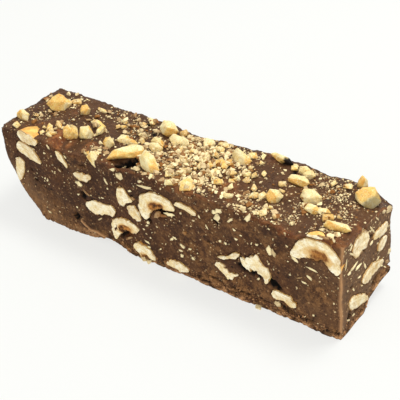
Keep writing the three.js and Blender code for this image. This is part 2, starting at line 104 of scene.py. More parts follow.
def piece_from(bm, name, finish, slot, *nodes):
    """Scales a mesh from millimetres to metres and makes it a piece, in place of its solids."""
    bmesh.ops.scale(bm, vec=(MM, MM, MM), verts=bm.verts)
    mesh = bpy.data.meshes.new(name)
    bm.to_mesh(mesh)
    bm.free()
    mesh.shade_smooth()
    piece = new_piece(mesh, name, finish)
    if nodes:
        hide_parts(*nodes)
    return piece


def copy_of(node):
    """A solid's own mesh in millimetres, with its separate triangles joined."""
    bm = bmesh.new()
    bm.from_mesh(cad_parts[node].data)
    bmesh.ops.scale(bm, vec=(1 / MM, 1 / MM, 1 / MM), verts=bm.verts)
    bmesh.ops.remove_doubles(bm, verts=bm.verts, dist=0.002)
    return bm


def corners_in(parts):
    return [part for part in parts if isinstance(part, bmesh.types.BMVert)]


# %% [markdown]
# ## Finishes
#
# Each finish is a small net of shader nodes on object coordinates, so it is as fine as the real
# surface and has no seams. Where a colour depends on the place, such as the golden rim of a nut,
# the mesh carries the answer in a colour attribute called marks, and the nodes only mix. That
# keeps a finish short, and one finish serves many pieces.

# %% Helpers that wire nodes
def paint(red, green, blue):
    """A colour from 0 to 255 as the shader counts it."""
    channels = [value / 255 for value in (red, green, blue)]
    return [v / 12.92 if v < 0.04045 else ((v + 0.055) / 1.055) ** 2.4 for v in channels] + [1.0]


def put(tree, kind, inputs, out=0, **settings):
    """Adds a node, sets or links its inputs, and gives back one of its outputs."""
    node = tree.nodes.new("ShaderNode" + kind)
    for name, value in settings.items():
        setattr(node, name, value)
    for name, value in inputs.items():
        if isinstance(value, bpy.types.NodeSocket):
            tree.links.new(value, node.inputs[name])
        else:
            node.inputs[name].default_value = value
    return node.outputs[out]


def blended(tree, share, low, high):
    return put(tree, "Mix", {0: share, 6: low, 7: high}, 2, data_type="RGBA")


def ramp(tree, value, low, high):
    """0 below low, 1 above high, and a smooth step between them, or the other way round."""
    return put(tree, "MapRange", {0: value, 1: low, 2: high}, interpolation_type="SMOOTHSTEP")


def times(tree, first, second):
    return put(tree, "Math", {0: first, 1: second}, operation="MULTIPLY")


def plus(tree, first, second):
    return put(tree, "Math", {0: first, 1: second}, operation="ADD")


def covered(tree, colour, share, strength, cover):
    """A colour with another one over it, where the share says and that strongly."""
    return blended(tree, times(tree, share, strength), colour, cover)


def patchy(tree, value, low, high, first, second):
    """One colour that turns into another as the value goes from low to high."""
    return blended(tree, ramp(tree, value, low, high), paint(*first), paint(*second))


def cloud(tree, place, size, detail=4.0, sharpness=0.55):
    """Noise whose lumps are size metres large."""
    values = {"Vector": place, "Scale": 1 / size, "Detail": detail, "Roughness": sharpness}
    return put(tree, "TexNoise", values)


def grains(tree, place, size, share, spread):
    """1 on scattered round grains of about that size, in that share of the cells."""
    cell = {"Vector": place, "Scale": 1 / size, "Randomness": 1.0}
    colour = put(tree, "TexVoronoi", cell, "Color")
    distance = put(tree, "TexVoronoi", cell, "Distance")
    chosen = ramp(tree, put(tree, "SeparateColor", {0: colour}), 1 - share, 1.02 - share)
    return times(tree, chosen, ramp(tree, distance, spread, spread * 0.5))


def marks_of(tree, name):
    """The four channels of a colour attribute."""
    attribute = tree.nodes.new("ShaderNodeAttribute")
    attribute.attribute_name = name
    split = tree.nodes.new("ShaderNodeSeparateColor")
    tree.links.new(attribute.outputs["Color"], split.inputs[0])
    return [*split.outputs, attribute.outputs["Alpha"]]


def new_finish(name):
    finish = bpy.data.materials.new(name)
    finish.use_nodes = True
    finish.node_tree.nodes.clear()
    place = put(finish.node_tree, "TexCoord", {}, "Object")
    return finish, finish.node_tree, place


SHINE = 0.2


def close_finish(tree, colour, roughness, height, depth):
    """Ends a finish with its shader: colour, roughness and a height in metres for the bump."""
    normal = put(tree, "Bump", {"Strength": 1.0, "Distance": depth, "Height": height})
    values = {"Base Color": colour, "Roughness": roughness, "Normal": normal}
    values["Specular IOR Level"] = SHINE
    ending = tree.nodes.new("ShaderNodeOutputMaterial")
    tree.links.new(put(tree, "BsdfPrincipled", values), ending.inputs["Surface"])


# %% Nougat
def nougat_finish():
    """Chocolate nougat: waxy skin on the top, dull and finely speckled where the knife went."""
    finish, tree, place = new_finish("nougat")
    skin, crumbly, pale, end = marks_of(tree, "ground")
    cavity_shade, red, dusty, edge = marks_of(tree, "marks")
    patches = cloud(tree, place, 0.009, 6.0, 0.65)
    fine = cloud(tree, place, 0.0009, 5.0, 0.8)
    grit = cloud(tree, place, 0.0026, 6.0, 0.8)

    cut = patchy(tree, patches, 0.35, 0.65, (61, 36, 20), (85, 52, 28))
    # The cut end is painted lighter and greyer than the front: painted light from the lamp on the
    # right and its glancing reflection.
    cut = covered(tree, cut, end, 0.8, paint(114, 84, 56))
    cut = blended(tree, pale, cut, paint(131, 95, 62))
    crumb = patchy(tree, grit, 0.42, 0.58, (64, 36, 18), (165, 116, 67))
    cut = covered(tree, cut, crumbly, 0.8, crumb)
    cut = covered(tree, cut, ramp(tree, grit, 0.55, 0.66), 0.4, paint(145, 104, 63))
    cut = covered(tree, cut, ramp(tree, fine, 0.46, 0.38), 0.65, paint(42, 25, 14))
    cut = covered(tree, cut, ramp(tree, fine, 0.56, 0.64), 0.55, paint(165, 122, 76))
    cut = covered(tree, cut, grains(tree, place, 0.0012, 0.26, 0.3), 0.6, paint(196, 160, 110))
    # Pores: they sink in the bump and are painted near black, which is painted shade inside them.
    shaded_pits = grains(tree, place, 0.003, 0.34, 0.16)
    cut = covered(tree, cut, shaded_pits, 0.8, paint(28, 15, 8))

    wax = patchy(tree, patches, 0.35, 0.65, (68, 43, 24), (94, 62, 37))
    wax = covered(tree, wax, ramp(tree, grit, 0.55, 0.68), 0.45, paint(132, 94, 60))
    wax = covered(tree, wax, ramp(tree, grit, 0.42, 0.34), 0.5, paint(46, 26, 14))
    dust = times(tree, ramp(tree, fine, 0.56, 0.64), dusty)
    wax = covered(tree, wax, dust, 0.6, paint(186, 156, 112))

    colour = blended(tree, skin, cut, wax)
    film = patchy(tree, grit, 0.42, 0.58, (108, 56, 26), (166, 104, 54))
    colour = covered(tree, colour, red, 0.85, film)
    colour = covered(tree, colour, edge, 0.8, paint(218, 164, 112))
    # Painted shade: hollows and pores are darkened to near black.
    colour = blended(tree, cavity_shade, colour, paint(10, 5, 2))
    roughness = put(tree, "MapRange", {0: skin, 3: 0.75, 4: 0.4})
    height = plus(tree, plus(tree, fine, times(tree, grit, 0.9)), times(tree, shaded_pits, -1.2))
    close_finish(tree, colour, roughness, height, 0.00045)
    return finish


# %% Cut hazelnut
def kernel_finish():
    """The inside of a hazelnut: cream, faintly veined, golden brown towards its hollow."""
    finish, tree, place = new_finish("cut_hazelnut")
    flesh, inner, tone, rim = marks_of(tree, "marks")
    uneven = cloud(tree, place, 0.0024, 5.0, 0.65)
    fine = cloud(tree, place, 0.0005, 4.0, 0.7)
    cream = patchy(tree, uneven, 0.35, 0.65, (255, 247, 216), (244, 220, 162))
    cream = blended(tree, tone, cream, paint(208, 174, 114))
    cream = covered(tree, cream, ramp(tree, fine, 0.53, 0.63), 0.5, paint(196, 156, 98))
    # Near-white flecks: white fibre of the nut, and also painted highlights on the cut face.
    cream = covered(tree, cream, ramp(tree, fine, 0.43, 0.36), 0.6, paint(255, 252, 236))
    gold = patchy(tree, uneven, 0.38, 0.62, (190, 128, 58), (122, 72, 26))
    ragged = plus(tree, inner, times(tree, plus(tree, uneven, -0.5), 0.8))
    cream = covered(tree, cream, ramp(tree, ragged, 0.05, 0.55), 0.85, paint(222, 178, 108))
    cream = blended(tree, ramp(tree, ragged, 0.5, 0.8), cream, gold)
    cream = blended(tree, ramp(tree, ragged, 0.92, 1.1), cream, paint(62, 34, 12))
    worn = plus(tree, rim, times(tree, plus(tree, uneven, -0.5), 1.3))
    cream = covered(tree, cream, ramp(tree, worn, 0.6, 0.95), 0.7, paint(158, 112, 62))
    skin = patchy(tree, uneven, 0.35, 0.65, (252, 208, 118), (222, 158, 78))
    colour = blended(tree, flesh, skin, cream)
    close_finish(tree, colour, 0.6, plus(tree, fine, uneven), 0.0002)
    return finish


# %% Chopped hazelnut
def chip_finish():
    """Chopped roasted hazelnut: cream where it broke, golden where the outside was."""
    finish, tree, place = new_finish("chopped_hazelnut")
    roast, tone, burnt, under = marks_of(tree, "marks")
    uneven = cloud(tree, place, 0.002, 5.0, 0.65)
    fine = cloud(tree, place, 0.0004, 4.0, 0.7)
    cream = patchy(tree, uneven, 0.35, 0.65, (255, 241, 188), (250, 222, 146))
    gold = patchy(tree, uneven, 0.35, 0.65, (255, 220, 130), (242, 184, 92))
    colour = blended(tree, roast, cream, gold)
    colour = covered(tree, colour, tone, 0.8, paint(216, 170, 98))
    colour = covered(tree, colour, ramp(tree, fine, 0.54, 0.64), 0.5, paint(206, 152, 78))
    colour = covered(tree, colour, ramp(tree, fine, 0.43, 0.36), 0.6, paint(255, 250, 226))
    # Brown towards the foot of the chip: painted shade where it sits, as well as its brown lower
    # edge.
    colour = covered(tree, colour, under, 0.8, paint(166, 108, 46))
    colour = blended(tree, burnt, colour, paint(24, 15, 9))
    close_finish(tree, colour, 0.56, plus(tree, fine, uneven), 0.0004)
    return finish


# %% Crumbs
def crumb_finish(name, pale, dark, roughness):
    """Crumbs of one stuff: each grain has a tone of its own between two colours."""
    finish, tree, place = new_finish(name)
    tone = put(tree, "Attribute", {}, "Fac", attribute_name="tone")
    uneven = cloud(tree, place, 0.0007, 3.0, 0.6)
    share = plus(tree, tone, times(tree, plus(tree, uneven, -0.5), 0.6))
    colour = blended(tree, share, paint(*pale), paint(*dark))
    close_finish(tree, colour, roughness, uneven, 0.0001)
    return finish


finishes = {
    "nougat": nougat_finish(),
    "kernel": kernel_finish(),
    "chip": chip_finish(),
    "nut_crumb": crumb_finish("hazelnut_crumb", (248, 230, 178), (140, 92, 42), 0.6),
    "nougat_crumb": crumb_finish("nougat_crumb", (172, 126, 82), (78, 48, 28), 0.7),
}
print("finishes:", ", ".join(finishes))

# %% [markdown]
# ## The form of the bar
#
# The bar is a long block with a leaning rim on the left, a top that swells and sinks, a lip
# folded up under the front edge, and a base that broke away under the cut end. The same few
# functions that shaped the solid shape the fine surface here, so both agree to a hair.

# %% Measures of the bar in millimetres
LENGTH, DEPTH, HEIGHT = 122, 27.5, 31
END_X, FRONT_Y = LENGTH / 2, -DEPTH / 2
RIM_BULGE, RIM_LEAN, RIM_HEIGHT = 0.8, 13, 24
LIP_X, LIP_LIFT, LIP_WIDTH, LIP_REACH = -29, 2.4, 6.5, 7
BREAK_X, BREAK_Y, BREAK_STEP, BREAK_WIDTH, BREAK_SLOPE = 45, -1.4, 3.1, 3.6, 0.13
CUT_WANDER, NICK_DEPTH = 0.16, 0.5
# Swells and hollows of the top: middle (x, y), rise and radius.
TOP_SWELLS = [
    (-36, -13.75, -1.2, 6), (-6, -13.75, 0.9, 8), (14, -13, 0.6, 5), (46, -13.75, -1.3, 4),
    (56, -13, 1.2, 7), (-55, 13, 0.5, 8), (-4, 14, -1.3, 8), (26, 12, 0.9, 12), (51, 10, 1.3, 6),
    (62, 14, -3.6, 4.5), (-40.5, -9.5, 1.3, 3.6), (-28, -8, 0.8, 3), (22, -6, 1.2, 4.5),
    (-47, -2, 0.6, 4), (34, 3, 0.5, 6), (4, 0, 0.9, 11), (-13, -10.5, -1.3, 3.4),
]


def top_at(x, y):
    """Height of the top, with its swells and hollows."""
    return HEIGHT + sum(
        rise * bell(math.hypot(x - at_x, y - at_y) / radius)
        for at_x, at_y, rise, radius in TOP_SWELLS
    )


def underside_at(x, y):
    """Height of the underside: flat but for the folded lip and the break under the cut end."""
    lip = LIP_LIFT * bell((x - LIP_X) / LIP_WIDTH) * max(0, 1 - (y - FRONT_Y) / LIP_REACH) ** 2
    across = y - BREAK_Y
    broken = BREAK_STEP * smooth(across / BREAK_WIDTH) + BREAK_SLOPE * max(0, across)
    return lip + broken * smooth((x - BREAK_X) / (END_X - BREAK_X))


def rim_at(y, z):
    """Where the moulded rim is, leaning in towards the base."""
    lean = max(0, 1 - z / RIM_HEIGHT) ** 2
    return -END_X + RIM_BULGE * (2 * y / DEPTH) ** 2 + RIM_LEAN * lean


def wander(first, second):
    """Slow wander of a knife cut."""
    return CUT_WANDER * (
        math.sin(first * 0.43 + second * 0.21) + math.sin(first * 0.17 - second * 0.55 + 1.3)
    )


def nick_at(along):
    """How far the lower edges of the long cuts are nicked."""
    return NICK_DEPTH * max(0, math.sin(along * 1.9) * math.sin(along * 0.83 + 0.7))


# %% [markdown]
# ## Hazelnuts in the cuts
#
# A kernel that the knife went through shows as a flat cream shape: some are plain ovals, and
# those cut through the hollow in their middle are arches. A kernel starts as a grid. Its
# columns are stations along the kernel, its rows run across it, and moving each corner of the
# grid to its place gives the cut face with its outline, its crease and its corners all in one
# go. The rim of the grid is then extruded back into the nougat, smaller each time, and closed.
# The nuts come before the nougat, because the nougat is pressed back where they sit.

# %% Rows of kernels
# Each row is the middle of the kernel on its cut face (along, up), its length, thickness, bend
# and turn in degrees, taper, bluntness of the ends and depth. Some kernels also have where along
# them an elbow is, over how much of them it spreads, and how much they belly out on their inner
# side. The second group is the look: how tan the kernel is, how much of it is golden brown from
# its inner side (below 0 from its outer side), how ragged its outline is, and how dark the brown
# gets.
Kernel = namedtuple(
    "Kernel", "along up length thickness bend turn taper bluntness depth elbow spread belly",
    defaults=(0, 1, 0),
)
FRONT_KERNELS = [
    ((-49.3, 30.1, 8.6, 4.4, 10, -6, 0, 3, 5.5), (0.35, 0, 0.6, 0)),
    ((-49.5, 24.9, 10.8, 4.6, 35, -20, -0.3, 2.5, 4), (0.3, 0, 0.3, 0)),
    ((-55.2, 17, 9.4, 3.9, 0, 77, 0.25, 2.5, 3.5), (0.3, 0, 0.5, 0)),
    ((-35.3, 26.9, 6.4, 2.4, 20, -54, 0.1, 2.5, 2.5), (0.1, 0, 1.5, 0)),
    ((-27.7, 23, 7.2, 2.7, -30, 6, 0.1, 2.5, 3), (0.45, 0, 1, 0)),
    ((-22.1, 13.4, 12.4, 4.3, 0, 8, -0.05, 3.5, 5), (0.05, -0.14, 0.8, 0.7)),
    ((-11.5, 21, 5.6, 5.4, 0, -4, -0.5, 4, 3.5), (0.05, 0, 0.9, 0)),
    ((-1.8, 24.6, 18.9, 4.8, 130, 36, -0.1, 3.5, 5, -0.05, 0.9, 0.55), (0.1, 0.4, 0.5, 1)),
    ((-8.4, 16.6, 6, 3.3, 0, -38, -0.25, 3, 3), (0.3, 0, 1.1, 0)),
    ((-14.8, 10.8, 15.8, 3.9, 100, 44, 0.15, 3, 4.5, -0.15, 0.7, 0.75), (0.05, 0.5, 0.8, 1)),
    ((11.1, 25.9, 8.2, 2.7, 45, -5, 0.15, 2.5, 3), (0.15, 0, 0.8, 0)),
    ((-5.8, 4, 9.2, 3.6, 60, -14, -0.2, 2.5, 3.5, 0, 1, 0.5), (0.1, 0.35, 0.9, 0.75)),
    ((6.2, 3, 8.8, 3.5, 30, 4, 0.15, 4, 3.5), (0.2, 0, 0.9, 0)),
    ((25.8, 14.1, 8.8, 1.6, -36, 27, 0.1, 3, 2), (0.2, 0, 1.4, 0)),
    ((24, 7.6, 8.6, 3, -108, -36, -0.5, 2.5, 3.5, -0.2, 0.75), (0.05, 0.12, 1.6, 0.5)),
    ((35.9, 15.5, 13.2, 4.2, 122, -32, -0.42, 4, 4, 0.05, 0.7), (0.05, 0, 1.8, 0)),
    ((43.4, 7, 8.2, 4.4, 35, -14, 0, 3, 4), (0.1, 0.24, 1.1, 0.8)),
    ((53.9, 29.5, 21.2, 4.2, 134, -20, 0, 3.5, 5, 0.2, 0.8, 1), (0.05, 0.5, 0.5, 0.8)),
    ((53.3, 32.3, 5, 1, 0, 8, 0, 2, 2), (0, 0, 1, 0)),
]
END_KERNELS = [
    ((-3.8, 26.2, 9.2, 6.6, 0, -10, 0, 3, 5), (0.3, 0, 0.8, 0)),
    ((7.1, 23.4, 8.8, 4, 0, -8, 0, 3, 4), (0.4, 0, 0.7, 0)),
    ((8.7, 18.2, 5.2, 3.2, 0, 30, 0, 3, 3), (0.4, 0, 0.8, 0)),
    ((3.4, 12.4, 12.4, 4.4, 10, -5, -0.1, 3, 4.5), (0.55, 0, 0.6, 0)),
    ((-4, 7.2, 12, 4, 10, -30, -0.25, 3, 4.5), (0.2, 0, 0.8, 0)),
]
BACK_KERNELS = [
    ((-46, 20.5, 11.5, 5, 60, 35, -0.2, 3, 4.5), (0.2, 0.3, 0.7, 0.7)),
    ((-31, 10.5, 9, 4, 0, -25, 0.3, 2, 4), (0.3, 0, 0.8, 0)),
    ((-12.5, 19.5, 15.5, 4.6, 135, -160, 0.1, 3, 4.5), (0.1, 0.5, 0.6, 0.9)),
    ((3, 8, 11.5, 4.2, 25, 12, -0.2, 3, 4.5), (0.15, 0, 1, 0)),
    ((19.5, 21, 9.5, 4.8, 0, 65, 0.2, 3, 4.5), (0.3, 0, 0.7, 0)),
    ((37.5, 11.5, 14, 4, 110, 15, 0.2, 3, 4.5), (0.1, 0.4, 0.8, 0.9)),
]
FACES = {"front": FRONT_KERNELS, "end": END_KERNELS, "back": BACK_KERNELS}


# %% Frames of the cut faces
DIRECTIONS = {
    "front": ((1, 0, 0), (0, -1, 0)),
    "end": ((0, 1, 0), (1, 0, 0)),
    "back": ((-1, 0, 0), (0, 1, 0)),
}


def face_frame(face):
    """Takes (along, up, out) on a cut face to its place on the bar."""
    along, out = DIRECTIONS[face]
    distance = END_X if face == "end" else -FRONT_Y
    columns = [(*along, 0), (0, 0, 1, 0), (*out, 0), (*(distance * Vector(out)), 1)]
    return Matrix(columns).transposed()


def cut_stands_out(face, along, up):
    """How far the wandering cut is outside its flat plane."""
    if face == "front":
        return -wander(along, up)
    return wander(along if face == "end" else -along, up)


# %% Places on a kernel
MIDDLE_STEPS = 12
ARCH_BEND = 90


def middle_angle(kernel, station):
    """Which way the middle line runs at a station from -1 to 1."""
    passed = smooth((station - kernel.elbow + kernel.spread) / (2 * kernel.spread))
    return math.radians(kernel.bend) * (0.5 - passed)


@functools.cache
def middle_at(kernel, station):
    """Where the middle line is at a station, stepping out along it from its middle."""
    stride = station * kernel.length / (2 * MIDDLE_STEPS)
    stations = (station * (i + 0.5) / MIDDLE_STEPS for i in range(MIDDLE_STEPS))
    angles = [middle_angle(kernel, stop) for stop in stations]
    return Vector((stride * sum(map(math.cos, angles)), stride * sum(map(math.sin, angles))))


def kernel_place(kernel, station, across, share):
    """A place on the cut face: station runs along the kernel and across over it, -1 to 1."""
    angle = middle_angle(kernel, station * share)
    swell = math.sqrt(max(0, 1 - abs(station) ** kernel.bluntness)) * (1 + kernel.taper * station)
    more = 1 + kernel.belly * (1 - station ** 2) if across < 0 else 1
    reach = across * swell * more * share * kernel.thickness / 2
    aside = Vector((-math.sin(angle), math.cos(angle)))
    place = middle_at(kernel, station * share) + reach * aside
    place.rotate(Matrix.Rotation(math.radians(kernel.turn), 2))
    return place + Vector((kernel.along, kernel.up))


def unevenness(kernel, seed):
    """How thick each side of the kernel is at its corners, as the solid has it."""
    steps = 7 if abs(kernel.bend) >= ARCH_BEND else 5
    draw = repeatable(seed)
    drawn = [mix(0.88, 1.1, next(draw)) for _ in range(2 * steps)]
    return drawn[:steps + 1], [drawn[(2 * steps - step) % (2 * steps)] for step in range(steps + 1)]


def outline_of(kernel, seed, ragged):
    """Gives places on a kernel, between the straight sides of the solid and a soft outline."""
    sides = unevenness(kernel, seed)
    steps = len(sides[0]) - 1
    chipped = [[1 + (drawn - 1) * (1 + 1.4 * ragged) for drawn in side] for side in sides]

    def at(u, thick, share):
        return kernel_place(kernel, math.sin(u * math.pi / 2), thick, share)

    def placed(u, v, tear, share):
        side = chipped[v > 0]
        step = min(int((u + 1) / 2 * steps), steps - 1)
        part = (u + 1) / 2 * steps - step
        soft = at(u, v * mix(side[step], side[step + 1], part) * tear, share)
        corners = [at(mix(-1, 1, i / steps), v * side[i] * tear, share) for i in (step, step + 1)]
        return soft.lerp(corners[0].lerp(corners[1], part), min(1, 0.75 * ragged))

    return placed


# %% One cut kernel
KERNEL_STEP = 0.26
PROUD = 0.15
# The rings that close a kernel behind its face: size, and how far back. The first two follow the
# face and count in millimetres, and the last two count in depths of the kernel.
KERNEL_RINGS = [(0.995, 0.25), (0.95, 1.0), (0.88, 0.5), (0.45, 1.0)]
# Extruding gives the faces in any order. Sorted along a slant, they are the same in every run.
SORTING = Vector((1, 7.13, 53.9))

nut_corners, nut_faces = [], []


def cut_kernel(name, kernel, look, face, seed):
    tan, golden, ragged, brown = look
    length, thickness = kernel.length, kernel.thickness
    outline = outline_of(kernel, seed, ragged)
    shift = Vector((seed * 7.3, seed * 3.1, 0))
    bm = bmesh.new()
    columns, rows = round(length / KERNEL_STEP), max(10, round(thickness / KERNEL_STEP))
    bmesh.ops.create_grid(bm, x_segments=columns, y_segments=rows, size=1)
    marks = bm.verts.layers.float_color.new("marks")
    home = bm.verts.layers.float_vector.new("home")
    sunk = bm.verts.layers.float.new("sunk")
    inner_side = (-1 if kernel.bend >= 0 else 1) * (1 if golden >= 0 else -1)

    def placed(u, v, share):
        along = shift + Vector((u * length / 2, v * 2, 0))
        torn = 0.6 * abs(rough(along + Vector((0, 0, 5)), 1)) - 0.14
        tear = 1 + ragged * (0.45 * rough(along, 1.9) + torn)
        return outline(u, v, tear, share)

    for vert in bm.verts:
        u, v = vert.co.xy
        vert[home] = (u, v, 0)
        place = placed(u, v, 1.0)
        edge = smooth((max(abs(v), abs(u) ** 3) - 0.7) / 0.3)
        split = max(0, 0.4 + rough(shift + Vector((u * 3, 0, 2)), 0.8))
        crease = 0.3 * bell(v / 0.14) * (1 - abs(u)) * split
        grain = 0.12 * rough((*place, seed), 1.1) + 0.07 * rough((*place, seed + 3), 0.4)
        inner = smooth((v * inner_side + 2 * abs(golden) - 0.8) / 0.7)
        inner *= 1 - smooth((abs(u - 0.05) - 0.2) / 0.4)
        inner *= brown
        out = PROUD + 0.12 + cut_stands_out(face, *place) - 0.16 * edge - crease + grain
        vert[sunk] = 0.6 * smooth(inner * 2 - 1) * (0.7 + rough((*place, seed), 1.2))
        streak = 0.5 * rough(shift + Vector((u * length / 7, v * 4, 7)), 0.8)
        blotch = 0.55 * rough((*place, seed), 1.9)
        shade = tan + blotch + 0.3 * rough((*place, seed + 1), 0.8) + streak
        vert.co = (*place, out)
        vert[marks] = (1, inner, min(1, max(0, shade)), edge)
    rim = [edge for edge in bm.edges if edge.is_boundary]
    for ring, (share, behind) in enumerate(KERNEL_RINGS):
        made = bmesh.ops.extrude_edge_only(bm, edges=rim)["geom"]
        rim = [part for part in made if isinstance(part, bmesh.types.BMEdge) and part.is_boundary]
        for vert in corners_in(made):
            place = placed(*vert[home].xy, share)
            near_face = PROUD + cut_stands_out(face, *place) - behind
            vert.co = (*place, near_face if ring < 2 else -kernel.depth * behind)
            vert[marks] = (0, 0, 0.3, 0)
    bmesh.ops.contextual_create(bm, geom=rim)
    bmesh.ops.remove_doubles(bm, verts=bm.verts, dist=0.01)
    bm.verts.index_update()
    bmesh.ops.transform(bm, matrix=face_frame(face), verts=bm.verts)
    bmesh.ops.recalc_face_normals(bm, faces=bm.faces)
    bm.faces.sort(key=lambda part: part.calc_center_median().dot(SORTING))
    nut_faces.extend([vert.index + len(nut_corners) for vert in part.verts] for part in bm.faces)
    nut_corners.extend(vert.co.copy() for vert in bm.verts)
    outwards = face_frame(face).col[2].xyz
    for vert in bm.verts:
        vert.co -= outwards * vert[sunk]
    bm.verts.layers.float.remove(sunk)
    return piece_from(bm, name, finishes["kernel"], "cut_hazelnut", name.removesuffix("_fine"))


kernels = []
for face, rows in FACES.items():
    for i, (row, look) in enumerate(rows):
        name = f"cut_hazelnut_{face}_{i + 1:02d}_fine"
        seed = 11 + i * 17 + len(face)
        kernels.append(cut_kernel(name, Kernel(*row), look, face, seed))
print("cut kernels:", len(kernels), "faces:", sum(len(k.data.polygons) for k in kernels))

# %% [markdown]
# ## The nougat itself
#
# A cube is cut into a fine grid, and then every corner is moved twice: first into the form of
# the bar, and then in or out by the relief of the place it is on. The knife leaves a nearly
# even face, the base strip crumbles, the top is lumpy, and air bubbles and lost nuts leave
# hollows. A grid was chosen over sculpting because the same rules then run everywhere, also on
# the sides that are seldom seen.

# %% A block cut into a fine grid
GRID_STEP = 0.42


def fine_block():
    bm = bmesh.new()
    size = (LENGTH, DEPTH, HEIGHT)
    bmesh.ops.create_cube(bm, size=1)
    bmesh.ops.scale(bm, vec=size, verts=bm.verts)
    for axis, length in enumerate(size):
        across = [
            edge for edge in bm.edges
            if abs(edge.verts[0].co[axis] - edge.verts[1].co[axis]) > length / 2
        ]
        bmesh.ops.subdivide_edges(bm, edges=across, cuts=round(length / GRID_STEP) - 1)
    return bm


# %% Marks on the faces
# A hollow is its middle along and up a face, its length, thickness, turn in degrees and depth,
# and how orange it is inside. On the top, along and up are x and y. Inside, a hollow is painted
# dark as painted shade, an orange one less so.
HOLLOWS = {
    "front": [
        (2.9, 21.6, 5.2, 2.6, 12, 2, 0), (2, 19.4, 3.4, 1.2, 20, 1, 0.8),
        (-12.2, 7.3, 4.6, 1.8, 38, 1.6, 0.9), (-14.2, 6.2, 3, 1.5, 40, 2, 0.1),
        (32, 12.3, 7, 2.8, -6, 1.8, 0), (40.2, 10.6, 5, 2.2, -30, 1.6, 0),
        (-28.7, 15.9, 3.2, 2.2, 80, 2, 0), (-32.7, 6.4, 3.4, 2.4, 60, 2, 0),
        (43.6, 3.6, 7, 1, -20, 1, 0.1), (20, 3.6, 5, 0.7, -4, 0.8, 0.2),
        (28.5, 3.2, 6, 0.7, 3, 0.8, 0.2), (37, 3.4, 4, 0.6, -8, 0.8, 0.2),
        (51, 2.6, 5, 0.7, 6, 0.8, 0.2), (24, 5.2, 2, 0.7, 20, 0.8, 0.2),
        (-48.5, 14.9, 1, 0.8, 0, 1, 0), (-50.2, 18.2, 0.9, 0.7, 0, 1, 0),
        (-36.7, 22.6, 1.8, 0.7, -40, 1.2, 0), (-27.5, 27, 2.4, 0.7, 10, 1, 0.2),
        (-3, 16, 2, 1.2, 0, 1.6, 0), (21.6, 24.5, 2, 1, -30, 1.2, 0),
        (52.6, 24.6, 4, 1, 14, 0.8, 0.9), (-3.2, 15.9, 1.6, 0.9, 0, 1.6, 0),
        (-8.8, 22.6, 0.9, 0.8, 0, 1, 0), (18.6, 16.8, 1, 0.5, 30, 0.8, 0),
    ],
    "end": [
        (-9.2, 4.9, 4.4, 2, 80, 1.8, 0), (-3.4, 4.6, 6, 1.2, 10, 1.5, 0.5),
        (1.9, 25, 1.2, 0.8, 0, 1.2, 0), (-7.8, 14.3, 1, 0.7, 0, 1, 0),
        (6.5, 3.8, 6, 1, 12, 1.5, 0.4),
    ],
    "back": [
        (-22, 24, 2.6, 1.6, 20, 2, 0.2), (30, 6, 3, 1.8, -30, 2.5, 0.2),
    ],
}
# The first top hollow lies in the gap under the long leaning chip, and its near-black inside is a
# painted shadow of that chip.
TOP_HOLLOWS = [
    (-11.4, -10.2, 8.4, 4.6, 52, 3.2, 0), (17, -13.2, 5, 1.6, 0, 1, 0), (28, 13.2, 4, 1.6, 0, 1, 0),
    (0.5, -0.4, 3, 1.4, -30, 1.2, 0.3), (12.8, -2.4, 2, 1.6, 0, 0.8, 0.8),
    (-15, 6.6, 3, 1.2, -40, 1, 0), (-20.6, 9.6, 2.6, 1.4, 60, 1, 0), (-26, 11, 2, 1.4, 70, 1, 0),
    (33, 8.6, 3, 1, 80, 0.8, 0),
]
# Crumbly spots of the cuts, red film and fine dust on the top, and red film along the upper
# edges: middle, reach and strength.
CRUMBLY = [
    (-48, 3, 7, 0.35), (-35, 5, 6, 0.45), (12, 13, 6, 0.5), (20, 17, 5, 0.5), (40, 22, 5, 0.6),
    (54, 13, 4, 0.8), (36, 4, 6, 0.6), (-28, 18, 2.2, 0.5), (2, 11, 4, 0.3), (-20, 3, 6, 0.5),
    (-30, 28, 5, 0.4), (14, 28, 7, 0.4), (30, 26, 6, 0.5), (18, 3, 5, 0.9), (27, 2.5, 5, 1),
    (46, 2, 6, 0.9),
]
RED_SKIN = [
    (-39, -10.5, 4, 0.9), (-41.5, -6.6, 2, 0.7), (-27.6, -8.6, 2.6, 0.9), (20, -6.4, 4, 1),
    (-36.5, -11.5, 3, 0.6), (23.6, -9.5, 2, 0.6), (37.1, -0.5, 1.6, 0.3), (-50, -7, 3, 0.5),
    (6, -13.4, 4, 0.5), (58, -12, 3, 0.8), (60.5, -4, 3, 0.8), (12.6, -1.2, 1.8, 0.9),
    (-45, 6, 2, 0.5), (24, 13, 3, 0.7), (-20, -12, 4, 0.5), (3, -3, 1.6, 0.6),
]
DUSTY_TOP = [
    (50, 6, 9, 1), (42, 9, 6, 0.8), (38, -11, 7, 0.9), (27, -12, 5, 0.7), (2, -2, 13, 1),
    (10, 6, 7, 0.8), (-28, 9, 5, 0.6), (-53, -2, 4, 0.4), (54, -3, 5, 0.5), (-24, -12, 4, 0.9),
]
RED_BORDER = [
    (-36, 0, 9, 0.5), (-12, 0, 7, 0.7), (8, 0, 8, 0.6), (16, 0, 5, 0.5), (36, 0, 8, 0.6),
    (45, 0, 4, 0.8), (56, 0, 5, 1), (60, 0, 4, 1),
]
# A thin ridge of tan fat on the front runs from a hollow down to the base: along, up.
RIDGE = [
    (-31.8, 6.4), (-29.5, 4.6), (-27.6, 3.4), (-25, 3.4), (-22.4, 2.6), (-20.5, 2), (-16.3, 1.3),
    (-13, 1),
]
RIDGE_WIDTH, RIDGE_RISE = 0.42, 0.35


